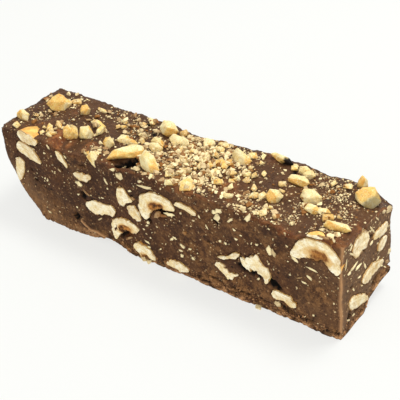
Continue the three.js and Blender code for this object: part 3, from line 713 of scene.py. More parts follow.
def off_ridge(along, up):
    """How far a place on the front is from the middle of the ridge."""
    place = Vector((along, up))
    distances = []
    for start, end in zip(RIDGE, RIDGE[1:]):
        share = intersect_point_line(place, start, end)[1]
        distances.append((place - Vector(start).lerp(Vector(end), min(1, max(0, share)))).length)
    return min(distances)


def strength_at(rows, first, second):
    return min(1, sum(
        strength * bell(math.hypot(first - a, second - b) / reach) for a, b, reach, strength in rows
    ))


def hollow_at(rows, along, up):
    """How deep a hollow is at a place on a face, and how orange it is."""
    deepest, orange = 0, 0
    for mid_along, mid_up, length, thickness, turn, depth, colour in rows:
        offset = Vector((along - mid_along, up - mid_up))
        if offset.length < length:
            offset.rotate(Matrix.Rotation(-math.radians(turn), 2))
            place = (along, up, depth)
            ragged = 1 + 0.4 * rough(place, 1.1) + 0.2 * rough(place, 0.5)
            reach = math.hypot(2 * offset.x / length, 2 * offset.y / thickness) / ragged
            here = depth * (1 - smooth((reach - 0.7) / 0.5))
            if here > deepest:
                deepest, orange = here, colour
    return deepest, orange


# %% Shape every corner of the block
ALMOST = 0.0001


def shaped(corner, share, on_base, on_cut):
    """The place of a corner of the block in the form of the bar."""
    under = underside_at(corner.x, corner.y) + (nick_at(corner.x) if on_base and on_cut else 0)
    z = mix(under, top_at(corner.x, corner.y), share.z)
    x = mix(rim_at(corner.y, z), END_X + wander(corner.y, z) * share.x, share.x)
    y = corner.y + (wander(corner.x, z) if on_cut else 0)
    return Vector((x, y, z))


def face_of(share):
    """The cut face that a corner of the block is on, or the top, the base or the rim."""
    if share.z > 1 - ALMOST:
        return "top"
    if share.z < ALMOST:
        return "base"
    if abs(share.y) > 0.5 - ALMOST:
        return "front" if share.y < 0 else "back"
    return "end" if share.x > 1 - ALMOST else "rim"


# %% Relief and marks of each face
# Each function gives how far the surface stands out at a place, then how much it is waxy skin,
# crumbly, pale and the cut end, which is painted lighter as painted light, then how much painted
# shade darkens it as a dark hollow, how red and dusty it is, and how much of a tan edge it has.
def strip_at(place):
    """How much a place on a side belongs to the crumbly strip along the base."""
    upper_edge = 3.4 + 3 * rough(place, 5) + 0.8 * rough(place, 0.9)
    over_base = place.z - underside_at(place.x, place.y)
    return smooth((upper_edge - over_base) / 1.6) * smooth((place.x + 34) / 24)


def worn_at(place):
    """How much the upper edge of the front is worn off at a place."""
    under_top = top_at(place.x, place.y) - place.z
    uneven = 0.15 + 0.9 * max(0, rough(place, 2.6))
    return uneven * bell((place.y - FRONT_Y) / 0.9) * bell(under_top / 0.9)


def cavity_shade_in(hollow, orange):
    """How much painted shade darkens a hollow inside: orange ones stay lighter."""
    return smooth(hollow / 0.3) * (1 - 0.8 * orange)


def top_relief(place):
    x, y = place.xy
    lumps = -worn_at(place) + 0.4 * rough(place, 4.5) + 0.34 * rough(place, 1.9)
    lumps += 0.2 * rough(place, 0.9)
    red = strength_at(RED_SKIN, x, y) * smooth(0.7 + 1.2 * rough(place, 1.6))
    burr = strength_at(RED_BORDER, x, y - FRONT_Y)
    burr *= smooth((y - FRONT_Y - 1.4 - rough(place, 1.5)) / -1.2)
    hollow, orange = hollow_at(TOP_HOLLOWS, x, y)
    hollow *= smooth((abs(FRONT_Y) - abs(y) - 0.4) / 1.6)
    red = max(red, 0.8 * burr, orange * smooth(hollow))
    marks = (cavity_shade_in(hollow, orange), red, strength_at(DUSTY_TOP, x, y), 0)
    return lumps + 0.25 * red - hollow, (1, 0, 0, 0), marks


def cut_relief(face, place):
    x, y, z = place
    along = {"front": x, "back": -x, "end": y}[face]
    over_base, under_top = z - underside_at(x, y), top_at(x, y) - z
    strip = strip_at(place)
    crumbly = max(strip, strength_at(CRUMBLY, along, z) if face != "end" else 0.0)
    hollow, orange = hollow_at(HOLLOWS[face], along, z)
    pit = strip * smooth((rough((x, y, 1.8 * z), 2.2) - 0.12) / 0.2)
    ridge = bell(off_ridge(x, z) / RIDGE_WIDTH) if face == "front" else 0
    drag = 0.05 * rough((x * 0.35, y * 0.35, z * 1.6), 0.8)
    stands = 0.08 * rough(place, 1.6) + drag + 0.07 * rough(place, 0.9) * (1 + 2 * crumbly)
    stands += 0.3 * strip * rough(place, 1.4) - 0.8 * pit - hollow
    stands += RIDGE_RISE * ridge
    pale = smooth((1 - (x - rim_at(y, z)) / 26) * 1.2 - z / 26 + 0.2 * rough(place, 3))
    pale = max(pale, 0.3 * smooth((x - 42) / 12))
    corner = bell((x - END_X) / 0.5) * bell((y - FRONT_Y) / 0.7)
    crust = smooth((0.9 + 1.2 * rough(place, 1.8) - over_base) / 0.4) * smooth((x + 40) / 20)
    border = 0.8 if face == "end" else strength_at(RED_BORDER, along, 0)
    burr = border * smooth((1.5 + 1.6 * rough(place, 1.6) - under_top) / 0.8)
    cap = smooth((1.9 + 1.5 * rough(place, 2.2) - over_base) / 0.8) * smooth((x + 25) / 20)
    red = max(orange * smooth(hollow), 0.75 * burr, 0.15 * cap)
    # Hollows and the pits of the base strip are painted dark: painted shade in them.
    cavity_shade = max(cavity_shade_in(hollow, orange), 0.75 * pit)
    # The last ground channel marks the cut end, which the finish paints lighter as painted light.
    ground = (0, crumbly, pale if face != "end" else 0.2, float(face == "end"))
    worn = worn_at(place) if face == "front" else 0
    return stands + 0.18 * burr - worn, ground, (cavity_shade, red, 0, max(corner, 0.9 * crust, ridge))


def relief_at(face, place):
    if face == "base":
        return 0, (0, 0.6, 0.3, 0), (0, 0, 0, 0)
    if face == "rim":
        stands = 0.2 * rough(place, 3) + 0.1 * rough(place, 0.9)
        return stands, (0.25, 0.5 * strip_at(place), 0.55, 0), (0, 0, 0, 0)
    return top_relief(place) if face == "top" else cut_relief(face, place)


# %% The nougat, pressed back where nuts sit
NUT_REACH, NUT_SINK, NUT_GAP = 0.5, 1.3, 0.2
nuts = BVHTree.FromPolygons(nut_corners, nut_faces)


def nougat_mesh():
    bm = fine_block()
    ground = bm.verts.layers.float_color.new("ground")
    marks = bm.verts.layers.float_color.new("marks")
    faces = []
    for vert in bm.verts:
        share = Vector((vert.co.x / LENGTH + 0.5, vert.co.y / DEPTH, vert.co.z / HEIGHT + 0.5))
        faces.append(face_of(share))
        vert.co = shaped(vert.co, share, share.z < ALMOST, abs(share.y) > 0.5 - ALMOST)
    bm.normal_update()
    moves = []
    for vert, face in zip(bm.verts, faces):
        stands, vert[ground], vert[marks] = relief_at(face, vert.co)
        nearest, outwards, _, distance = nuts.find_nearest(vert.co, NUT_REACH)
        if nearest and face != "top":
            inside = (vert.co - nearest).dot(outwards) < 0
            pressed = NUT_SINK if inside else NUT_GAP * smooth(1 - distance / 0.4)
            stands = min(stands, 0) - pressed
        moves.append(vert.normal * stands)
    for vert, move in zip(bm.verts, moves):
        vert.co += move
        vert.co.z = max(vert.co.z, 0)
    return bm


nougat = piece_from(nougat_mesh(), "nougat_fine", finishes["nougat"], "nougat", "nougat")
print("nougat faces:", len(nougat.data.polygons))

# %% [markdown]
# ## Chopped hazelnuts
#
# Chopping a roasted hazelnut gives blocky chips: flat where the nut broke, round and golden
# where its outside was. The large chips are solids of their own, so each fine chip starts as a
# copy of its solid. Its triangles are divided, the corners are softened, and noise roughens the
# faces. The side that was the outside of the nut is coloured golden.

# %% Looks of the large chips
# For each large chip: the direction that its golden side faces (round from +X, then up, in
# degrees), how much of it is golden, how tan it is, how dark its burnt end is, and how brown it
# is towards its foot, which is painted shade under it as well as its brown lower edge.
CHIP_LOOKS = [
    (215, 60, 0.8, 0, 0, 0.2), (200, 20, 0.4, 0.2, 0, 0.3), (270, 60, 0.5, 0.4, 0, 0.3),
    (260, 30, 0.85, 0.2, 0, 0.5), (90, 40, 0.15, 0, 0, 0.3), (90, 60, 0.25, 0.1, 0, 0.5),
    (220, 20, 0.35, 0, 0, 0.2), (285, -10, 0.5, 0, 0, 0.6), (230, 0, 0.1, 0, 0, 0.4),
    (20, 30, 0.25, 0.3, 0, 0.4), (330, 0, 0.15, -0.1, 0, 0.2), (300, -20, 0.3, 0, 0, 0.8),
    (270, -60, 0.1, 0, 0, 0.3), (60, 20, 0.2, 0.1, 0, 0.3), (100, 0, 0.15, 0.05, 0, 0.3),
    (340, 0, 0.12, 0, 0, 0.3), (300, 0, 0.25, 0, 0, 0.3), (280, -20, 0.3, 0.1, 1, 1),
    (60, 0, 0.15, 0, 0, 0.4), (280, -10, 0.15, 0, 0, 0.3), (200, 0, 0.12, 0, 0, 0.4),
    (0, 20, 0.25, 0, 0, 0.4), (250, 0, 0.3, 0, 0, 0.4), (280, -10, 0.35, 0, 0, 0.6),
    (100, 65, 0.7, 0, 0.5, 0.2), (230, 30, 0.65, 0.2, 0, 0.3),
]
LARGE_CUTS, SMALL_CUTS = 7, 4


# %% One chip from its rough form
def box_of(places):
    """The lowest and highest corner of the box round some places."""
    return [Vector(pick(place[i] for place in places) for i in range(3)) for pick in (min, max)]


def weather_chip(bm, look, seed, cuts):
    """Divides, softens and roughens a rough chip, and marks its golden side."""
    turn, lift, golden, tan, burnt, under = look
    low, high = box_of([vert.co for vert in bm.verts])
    size, middle = high - low, (high + low) / 2
    bmesh.ops.subdivide_edges(bm, edges=bm.edges, cuts=cuts, use_grid_fill=True)
    axes = {"use_axis_x": True, "use_axis_y": True, "use_axis_z": True}
    bmesh.ops.smooth_vert(bm, verts=bm.verts, factor=0.4, **axes)
    bm.normal_update()
    turn, lift = math.radians(turn), math.radians(lift)
    flat, up = math.cos(lift), math.sin(lift)
    outside = Vector((flat * math.cos(turn), flat * math.sin(turn), up))
    burnt_side = Vector((0.9, 0, -0.8))
    marks = bm.verts.layers.float_color.new("marks")
    shift = Vector((seed * 5.1, seed * 2.3, seed * 1.7))
    for vert in bm.verts:
        place = vert.co + shift
        facing = vert.normal.dot(outside) + 0.3 * rough(place, size.length * 0.3)
        facing += 0.12 * rough(place, 0.6)
        roast = smooth((facing - (1 - 1.5 * golden)) / 0.2 + 0.5)
        end = (vert.co - middle).dot(burnt_side) / size.x + 0.1 * rough(place, 1)
        shade = tan + 0.4 * rough(place, 1.5) + 0.25 * rough(place, 0.6)
        # How near the foot of the chip a place is; the finish paints it brown there, as painted
        # shade under the chip and its brown lower edge.
        underside_shade = smooth((0.42 + 0.2 * rough(place, 1) - (vert.co.z - low.z) / size.z) / 0.15)
        vert[marks] = (roast, min(1, max(0, shade)), burnt * smooth(end / 0.06), under * underside_shade)
        chipped = 0.14 * (noise.voronoi(place / 1.6)[0][0] - 0.4)
        vert.co += vert.normal * (chipped + 0.1 * rough(place, 1.4) + 0.06 * rough(place, 0.5))
    now_low, now_high = box_of([vert.co for vert in bm.verts])
    bmesh.ops.translate(bm, vec=-(now_low + now_high) / 2, verts=bm.verts)
    stretch = [size[axis] / (now_high[axis] - now_low[axis]) for axis in range(3)]
    bmesh.ops.scale(bm, vec=stretch, verts=bm.verts)
    bmesh.ops.translate(bm, vec=middle, verts=bm.verts)


large_chips = []
for i, look in enumerate(CHIP_LOOKS):
    node = f"chopped_hazelnut_{i + 1:02d}"
    bm = copy_of(node)
    weather_chip(bm, look, i, LARGE_CUTS)
    piece = piece_from(bm, node + "_fine", finishes["chip"], "chopped_hazelnut", node)
    large_chips.append(piece)
print("large chips:", len(large_chips), "faces:", sum(len(c.data.polygons) for c in large_chips))

# %% [markdown]
# ## Small chips
#
# The small chips are part of the nougat's solid. They are found again with the same rules: a
# few are listed one by one, and the rest are tried at random places and kept where they land on
# the heap and clear of each other. Each starts as seven corners with a skin stretched over
# them, which is what the convex hull operator does.

# %% Rules of the small chips
# The spots of the large chips, which the strewn ones keep clear of: x, y, length, width.
LARGE_REACHES = [
    (-52, 3.8, 7.6, 6.2), (-57.8, -6, 6.2, 4.2), (-42, 5.6, 4, 3.4), (-37.1, -7.8, 3.6, 2.8),
    (-32.2, -4.9, 4.6, 4), (-33.1, 1.7, 6.4, 2.6), (-23, -5.4, 4.4, 3.6), (-14.2, -7.4, 12.6, 4.8),
    (-22.9, -12.7, 3.8, 3), (-20.6, -1, 5, 3.2), (-4, -9.8, 8, 5), (-11.4, 9.2, 6, 4.8),
    (-4.9, 5.4, 7, 3.4), (-8.4, -0.9, 4.6, 3.4), (3.9, 9, 4.4, 3.6), (16.1, 6.4, 8, 4.8),
    (11.2, -12.2, 5, 4), (27.3, 12, 8.4, 2.4), (35.4, 10.6, 4.2, 3), (36.8, 5.4, 6.8, 3.4),
    (43.4, 0.6, 7.6, 5.2), (46.4, -4, 4.6, 3), (34.8, -4.2, 5.4, 4.4), (56.2, -7.8, 7.8, 2.2),
    (57, 7.4, 8, 5.8), (52.6, 12.2, 4.4, 3.4), (-35.5, -6.9, 2.8, 2.4), (-30, -0.9, 5.6, 2.2),
    (-17.8, -1.5, 5, 2.6), (-9.6, 1.5, 4.8, 3), (37.4, 9.8, 4.2, 2.8), (49.3, -2.8, 4.4, 2.4),
]
# Chips listed one by one: x, y, length, width, height, turn in degrees.
PLACED_CHIPS = [
    (-43.9, -8.9, 3, 2.6, 2, 20), (-43.6, -4.8, 3, 2.6, 2.4, 140), (-48.5, 8.9, 3.2, 2.4, 2.2, 20),
    (0.2, 4.8, 3, 2.6, 2.2, 50), (7.8, 8.3, 3.8, 2.4, 2, 0), (7.7, 11, 4, 2, 2.2, 0),
    (18.6, 9.7, 3.2, 2.4, 2.2, 30), (3.4, -9.8, 3.2, 2.6, 2.4, 60), (-7.2, 11.4, 2.8, 2.4, 3, 40),
    (12.4, 1.4, 4.4, 3, 3, 30), (14.5, 3, 3.4, 2.6, 2.2, 50), (22.6, 0.8, 2.2, 1.8, 2.2, 20),
    (24.3, 1.8, 2.2, 1.6, 2.2, 60), (29.3, -6, 2.8, 2.2, 2.4, 20), (31.6, -5.4, 2.8, 2, 2.6, 70),
    (52, -5.2, 3.2, 2.4, 2.6, 40), (32.4, 10.2, 2.4, 1.8, 1.8, 45), (5.6, -13, 3, 2, 2.2, 20),
]
GOLDEN_CHIPS = {9, 10, 15}
STREWN_COUNT, EDGE_GAP = 74, 1.6


def apart_enough(chip, others, overlap):
    return all(
        math.hypot(chip[0] - other[0], chip[1] - other[1])
        > (chip[2] + chip[3] + other[2] + other[3]) / 4 * overlap
        for other in others
    )


def strewn_chips():
    draw = repeatable(7001)
    chips = []
    while len(chips) < STREWN_COUNT:
        length = mix(3.2, 1.5, len(chips) / STREWN_COUNT)
        x = mix(EDGE_GAP - END_X, END_X - EDGE_GAP, next(draw))
        y = mix(EDGE_GAP + FRONT_Y, -FRONT_Y - EDGE_GAP, next(draw))
        width = length * mix(0.6, 0.9, next(draw))
        height = length * mix(0.5, 0.75, next(draw))
        chip = (x, y, length, width, height, 360 * next(draw))
        lands = next(draw) < 0.22 + 0.78 * bell(math.hypot((x - 4) / 18, y / 10))
        if lands and apart_enough(chip, LARGE_REACHES, 1.1):
            if apart_enough(chip, PLACED_CHIPS + chips, 0.42):
                chips.append(chip)
    return chips


# %% Corners of a chip
def on_ball(angle, height):
    flat = math.sqrt(1 - height * height)
    return Vector((flat * math.cos(angle), flat * math.sin(angle), height))


def chip_corners(count, draw):
    """Corners spread over a ball, flattened by three breaks, then stretched to a cube."""
    breaks = []
    for _ in range(3):
        angle = next(draw) * math.tau
        normal = on_ball(angle, mix(-0.4, 0.8, next(draw)))
        breaks.append((normal, mix(0.5, 0.8, next(draw))))
    corners = []
    for i in range(count):
        angle = i * math.pi * (3 - math.sqrt(5)) + next(draw) * 0.5
        corner = on_ball(angle, 1 - (2 * i + 1) / count) * mix(0.88, 1.06, next(draw))
        for normal, limit in breaks:
            corner -= normal * 0.9 * max(0, corner.dot(normal) - limit)
        corners.append(corner)
    low, high = box_of(corners)
    return [
        Vector(2 * (corner[i] - low[i]) / (high[i] - low[i]) - 1 for i in range(3))
        for corner in corners
    ]


def stretch_skin(bm):
    """Stretches a skin over the corners of a mesh, and drops the corners inside."""
    hull = bmesh.ops.convex_hull(bm, input=bm.verts)
    spare = set(hull["geom_interior"] + hull["geom_unused"])
    bmesh.ops.delete(bm, geom=corners_in(spare), context="VERTS")


def rough_chip(chip, seed):
    x, y, length, width, height, turn = chip
    draw = repeatable(seed)
    bm = bmesh.new()
    for corner in chip_corners(7, draw):
        bm.verts.new((corner.x * length / 2, corner.y * width / 2, corner.z * height / 2))
    lean_x, lean_y = mix(-0.2, 0.2, next(draw)), mix(-0.2, 0.2, next(draw))
    matrix = Matrix.Translation((x, y, top_at(x, y) + height * 0.24))
    matrix @= Matrix.Rotation(math.radians(turn), 4, "Z")
    matrix @= Matrix.Rotation(lean_x, 4, "X") @ Matrix.Rotation(lean_y, 4, "Y")
    bmesh.ops.transform(bm, matrix=matrix, verts=bm.verts)
    stretch_skin(bm)
    return bm


small = bmesh.new()
chooser = random.Random(5)
rows = [(chip, 401 + i) for i, chip in enumerate(PLACED_CHIPS)]
rows += [(chip, 7001 + i) for i, chip in enumerate(strewn_chips())]
for i, (chip, seed) in enumerate(rows):
    bm = rough_chip(chip, seed)
    golden = 0.9 if i in GOLDEN_CHIPS else chooser.uniform(0, 0.4)
    tan = 0.9 * chooser.random() ** 2
    # Every small chip is browned towards its foot by 0.4: painted shade under it, and its brown
    # lower edge.
    look = (chooser.uniform(0, 360), chooser.uniform(-30, 50), golden, tan, 0, 0.4)
    weather_chip(bm, look, seed, SMALL_CUTS)
    done = bpy.data.meshes.new("chip")
    bm.to_mesh(done)
    bm.free()
    small.from_mesh(done)
    bpy.data.meshes.remove(done)
small_chips = piece_from(small, "small_chips", finishes["chip"], "chopped_hazelnut")
print("small chips:", len(rows), "faces:", len(small_chips.data.polygons))

# %% [markdown]
# ## Crumbs, slivers and dust
#
# Chopping leaves crumbs and dust, and the knife smears flakes of nut over the cuts. There are
# thousands of grains, so a grain has only a dozen faces, and all grains of a kind are one mesh.
# Each is dropped on the finished surface along a ray, so that it lies on whatever is there.

# %% The surface that grains fall on
ground_pieces = [nougat, small_chips, *large_chips, *kernels]
corners, polygons = [], []
for piece in ground_pieces:
    start = len(corners)
    corners += [vert.co / MM for vert in piece.data.vertices]
    polygons += [[index + start for index in polygon.vertices] for polygon in piece.data.polygons]
surface = BVHTree.FromPolygons(corners, polygons)
first_of_nuts = len(polygons) - sum(len(kernel.data.polygons) for kernel in kernels)

DROPS = {
    "top": lambda a, b: (Vector((a, b, 60)), Vector((0, 0, -1))),
    "front": lambda a, b: (Vector((a, -30, b)), Vector((0, 1, 0))),
    "back": lambda a, b: (Vector((-a, 30, b)), Vector((0, -1, 0))),
    "end": lambda a, b: (Vector((90, a, b)), Vector((-1, 0, 0))),
}


def landing(face, a, b):
    """Where a grain thrown at a face lands, which way it faces there, and if that is a nut."""
    place, outwards, polygon, _ = surface.ray_cast(*DROPS[face](a, b))
    return place, outwards, place is not None and polygon >= first_of_nuts


# %% Grains of a kind
def grain_shape(kind, seed):
    """A grain about 1 across: a lumpy crumb, or a shard with sharper corners."""
    bm = bmesh.new()
    pick = random.Random(seed)
    if kind == "crumb":
        for _ in range(11):
            direction = Vector([pick.gauss(0, 1) for _ in range(3)]).normalized()
            bm.verts.new(direction * pick.uniform(0.45, 0.6))
        stretch_skin(bm)
        bm.verts.index_update()
    else:
        bmesh.ops.create_cube(bm, size=0.8)
        for vert in bm.verts:
            vert.co *= pick.uniform(0.65, 1.3)
    corners = np.array([vert.co for vert in bm.verts])
    faces = np.array([[vert.index for vert in face.verts] for face in bm.faces])
    bm.free()
    return corners, faces


def grains_piece(name, kind, places, finish):
    """One piece of many grains. A place is (matrix, tone)."""
    shapes = [grain_shape(kind, seed) for seed in range(8)]
    all_corners, all_faces, tones, start = [], [], [], 0
    for i, (matrix, tone) in enumerate(places):
        corners, faces = shapes[i % len(shapes)]
        turned = corners @ np.array(matrix.to_3x3()).T + np.array(matrix.translation)
        all_corners.append(turned)
        all_faces.append(faces + start)
        tones.append(np.full(len(corners), tone))
        start += len(corners)
    mesh = bpy.data.meshes.new(name)
    mesh.from_pydata(np.concatenate(all_corners) * MM, [], np.concatenate(all_faces).tolist())
    tone_mark = mesh.attributes.new("tone", "FLOAT", "POINT")
    tone_mark.data.foreach_set("value", np.concatenate(tones).astype(np.float32))
    new_piece(mesh, name, finish)
    print(name, "grains:", len(places), "faces:", len(mesh.polygons))


def lie(place, outwards, size, pick, sink=0.25, turn=None):
    """A grain of that size (length, width, height) lying on the surface at a place."""
    matrix = Matrix.Translation(place + outwards * size[2] * (0.5 - sink))
    matrix @= outwards.to_track_quat("Z", "Y").to_matrix().to_4x4()
    turn = pick.uniform(0, math.tau) if turn is None else turn
    matrix @= Matrix.Rotation(turn, 4, "Z") @ Matrix.Rotation(pick.uniform(-0.4, 0.4), 4, "X")
    return matrix @ Matrix.Diagonal((*size, 1))


# %% Strew the grains
# Where crumbs lie thick on the top, and where fine dust does: middle, reach and strength.
CRUMB_ZONES = [
    (-6, -6, 6, 0.9), (3, -8, 7, 1), (8, -3, 7, 1), (2, 3, 8, 1), (-3, 9, 6, 0.6), (12, 5, 6, 0.6),
    (10, -11, 5, 0.8), (15, 0, 4, 0.7), (22, 2.4, 2.4, 0.5), (27, -7, 3, 0.6), (30, -11, 4, 0.5),
    (37, -11, 4, 0.4), (44, -3.6, 2.6, 0.7), (48, 8, 4, 0.12), (41, 10, 3, 0.2), (-24, -11, 2.6, 1),
    (-28, 9, 4, 0.3), (-20, 7, 4, 0.25), (-53, -2, 3, 0.25), (-49, 9, 3, 0.3), (-43, -5, 2.5, 0.3),
    (-13, 4, 4, 0.4), (54, -11, 4, 0.4), (16, -11, 3, 0.4), (-56, 6, 3, 0.2), (-37, 2, 3, 0.2),
    (-23, 2, 3, 0.3),
]
DUST_ZONES = [
    (46, 7, 7, 1), (53, 2, 7, 0.9), (40, 10, 5, 0.8), (40, -10, 6, 0.7), (30, -11, 5, 0.8),
    (2, -2, 12, 1), (12, 6, 7, 0.8), (-24, -11, 3, 1), (-28, 9, 5, 0.7), (-20, 5, 5, 0.5),
    (-53, -3, 4, 0.6), (54, -10, 5, 0.6), (-45, 9, 4, 0.3), (-35, 10, 4, 0.3), (20, -12, 4, 0.5),
    (-40, -3, 3, 0.25), (22, 2, 3, 0.5), (-15, 6, 5, 0.5),
]
TOP_CRUMBS, TOP_DUST, TOP_FLAKES = 1300, 3600, 500


def strew(
    face, count, share, sizes, pick, tones, flat=0.7, slim=(0.55, 0.9),
    low=(-60.4, -13.3), high=(60.8, 13.3), climb=9,
):
    """Throws grains at a face until count of them lie on nougat, most where share is high."""
    places = []
    while len(places) < count:
        a, b = pick.uniform(low[0], high[0]), pick.uniform(low[1], high[1])
        if pick.random() > share(a, b):
            continue
        place, outwards, on_nut = landing(face, a, b)
        if place is None or on_nut or place.z > top_at(place.x, place.y) + climb:
            continue
        length = mix(*sizes, pick.random() ** 2.2)
        size = (length, length * pick.uniform(*slim), length * flat * pick.uniform(0.6, 1))
        places.append((lie(place, outwards, size, pick), mix(*tones, pick.random() ** 1.3)))
    return places


def crumb_share(x, y):
    return 0.012 + strength_at(CRUMB_ZONES, x, y) * smooth(0.7 + 1.2 * rough((x, y, 9), 3))


def dust_share(x, y):
    return 0.06 + strength_at(DUST_ZONES, x, y) * smooth(0.4 + 1.6 * rough((x, y, 4), 2.4))


def cut_share(x, z):
    in_patch = smooth(2.4 * rough((x, 3, z), 2.6) - 0.1)
    return 0.03 + in_patch * (0.3 + 0.7 * smooth((z - 8) / 16)) + 0.3 * smooth((z - 28) / 3)


pick = random.Random(23)
crumbs = strew("top", TOP_CRUMBS, crumb_share, (0.6, 2.3), pick, (0, 1.2), 0.7, climb=1.4)
# Three crumbs lie on the table, at the foot of the front.
for x, length in [(-6.3, 3.6), (-4.4, 1.8), (35.2, 2.6)]:
    at_base = lie(Vector((x, -14.3, 0)), Vector((0, 0, 1)), (length, 1.8, 1), pick, 0, 0)
    crumbs.append((at_base, 0.3))
grains_piece("hazelnut_crumbs", "crumb", crumbs, finishes["nut_crumb"])

dust = strew("top", TOP_DUST, dust_share, (0.2, 0.75), pick, (0, 1.2), 0.5, (0.3, 0.9), climb=0.9)
for face, count, low, high in [
    ("front", 420, (-59, 0.5), (60.8, 32)),
    ("end", 110, (-13.4, 1), (13.4, 31)),
    ("back", 400, (-59, 0.5), (60, 32)),
]:
    sizes, slim = (0.2, 0.85), (0.25, 0.8)
    dust += strew(face, count, cut_share, sizes, pick, (0, 0.7), 0.3, slim, low, high)
grains_piece("hazelnut_dust", "shard", dust, finishes["nut_crumb"])


# %% Crumbs of nougat along the base
def base_share(x, z):
    return 0.9 * smooth((4.5 - z) / 3.5) + 0.03


flakes = []
for face, count, low, high in [
    ("front", 700, (-50, 0.3), (60.8, 8)),
    ("end", 220, (-13.4, 0.4), (13.4, 9)),
    ("back", 600, (-60, 0.3), (50, 8)),
]:
    flakes += strew(face, count, base_share, (0.3, 1.1), pick, (0, 1), 0.5, (0.5, 0.9), low, high)
flakes += strew("top", TOP_FLAKES, lambda x, y: 0.5, (0.25, 0.8), pick, (0.2, 1), 0.5, climb=0.4)
grains_piece("nougat_crumbs", "crumb", flakes, finishes["nougat_crumb"])

# %% [markdown]
# ## Slivers in the cuts
#
# Thin slices of nut that the knife left are flat shards. They are listed one by one, like the
# kernels, because the eye goes to them first.

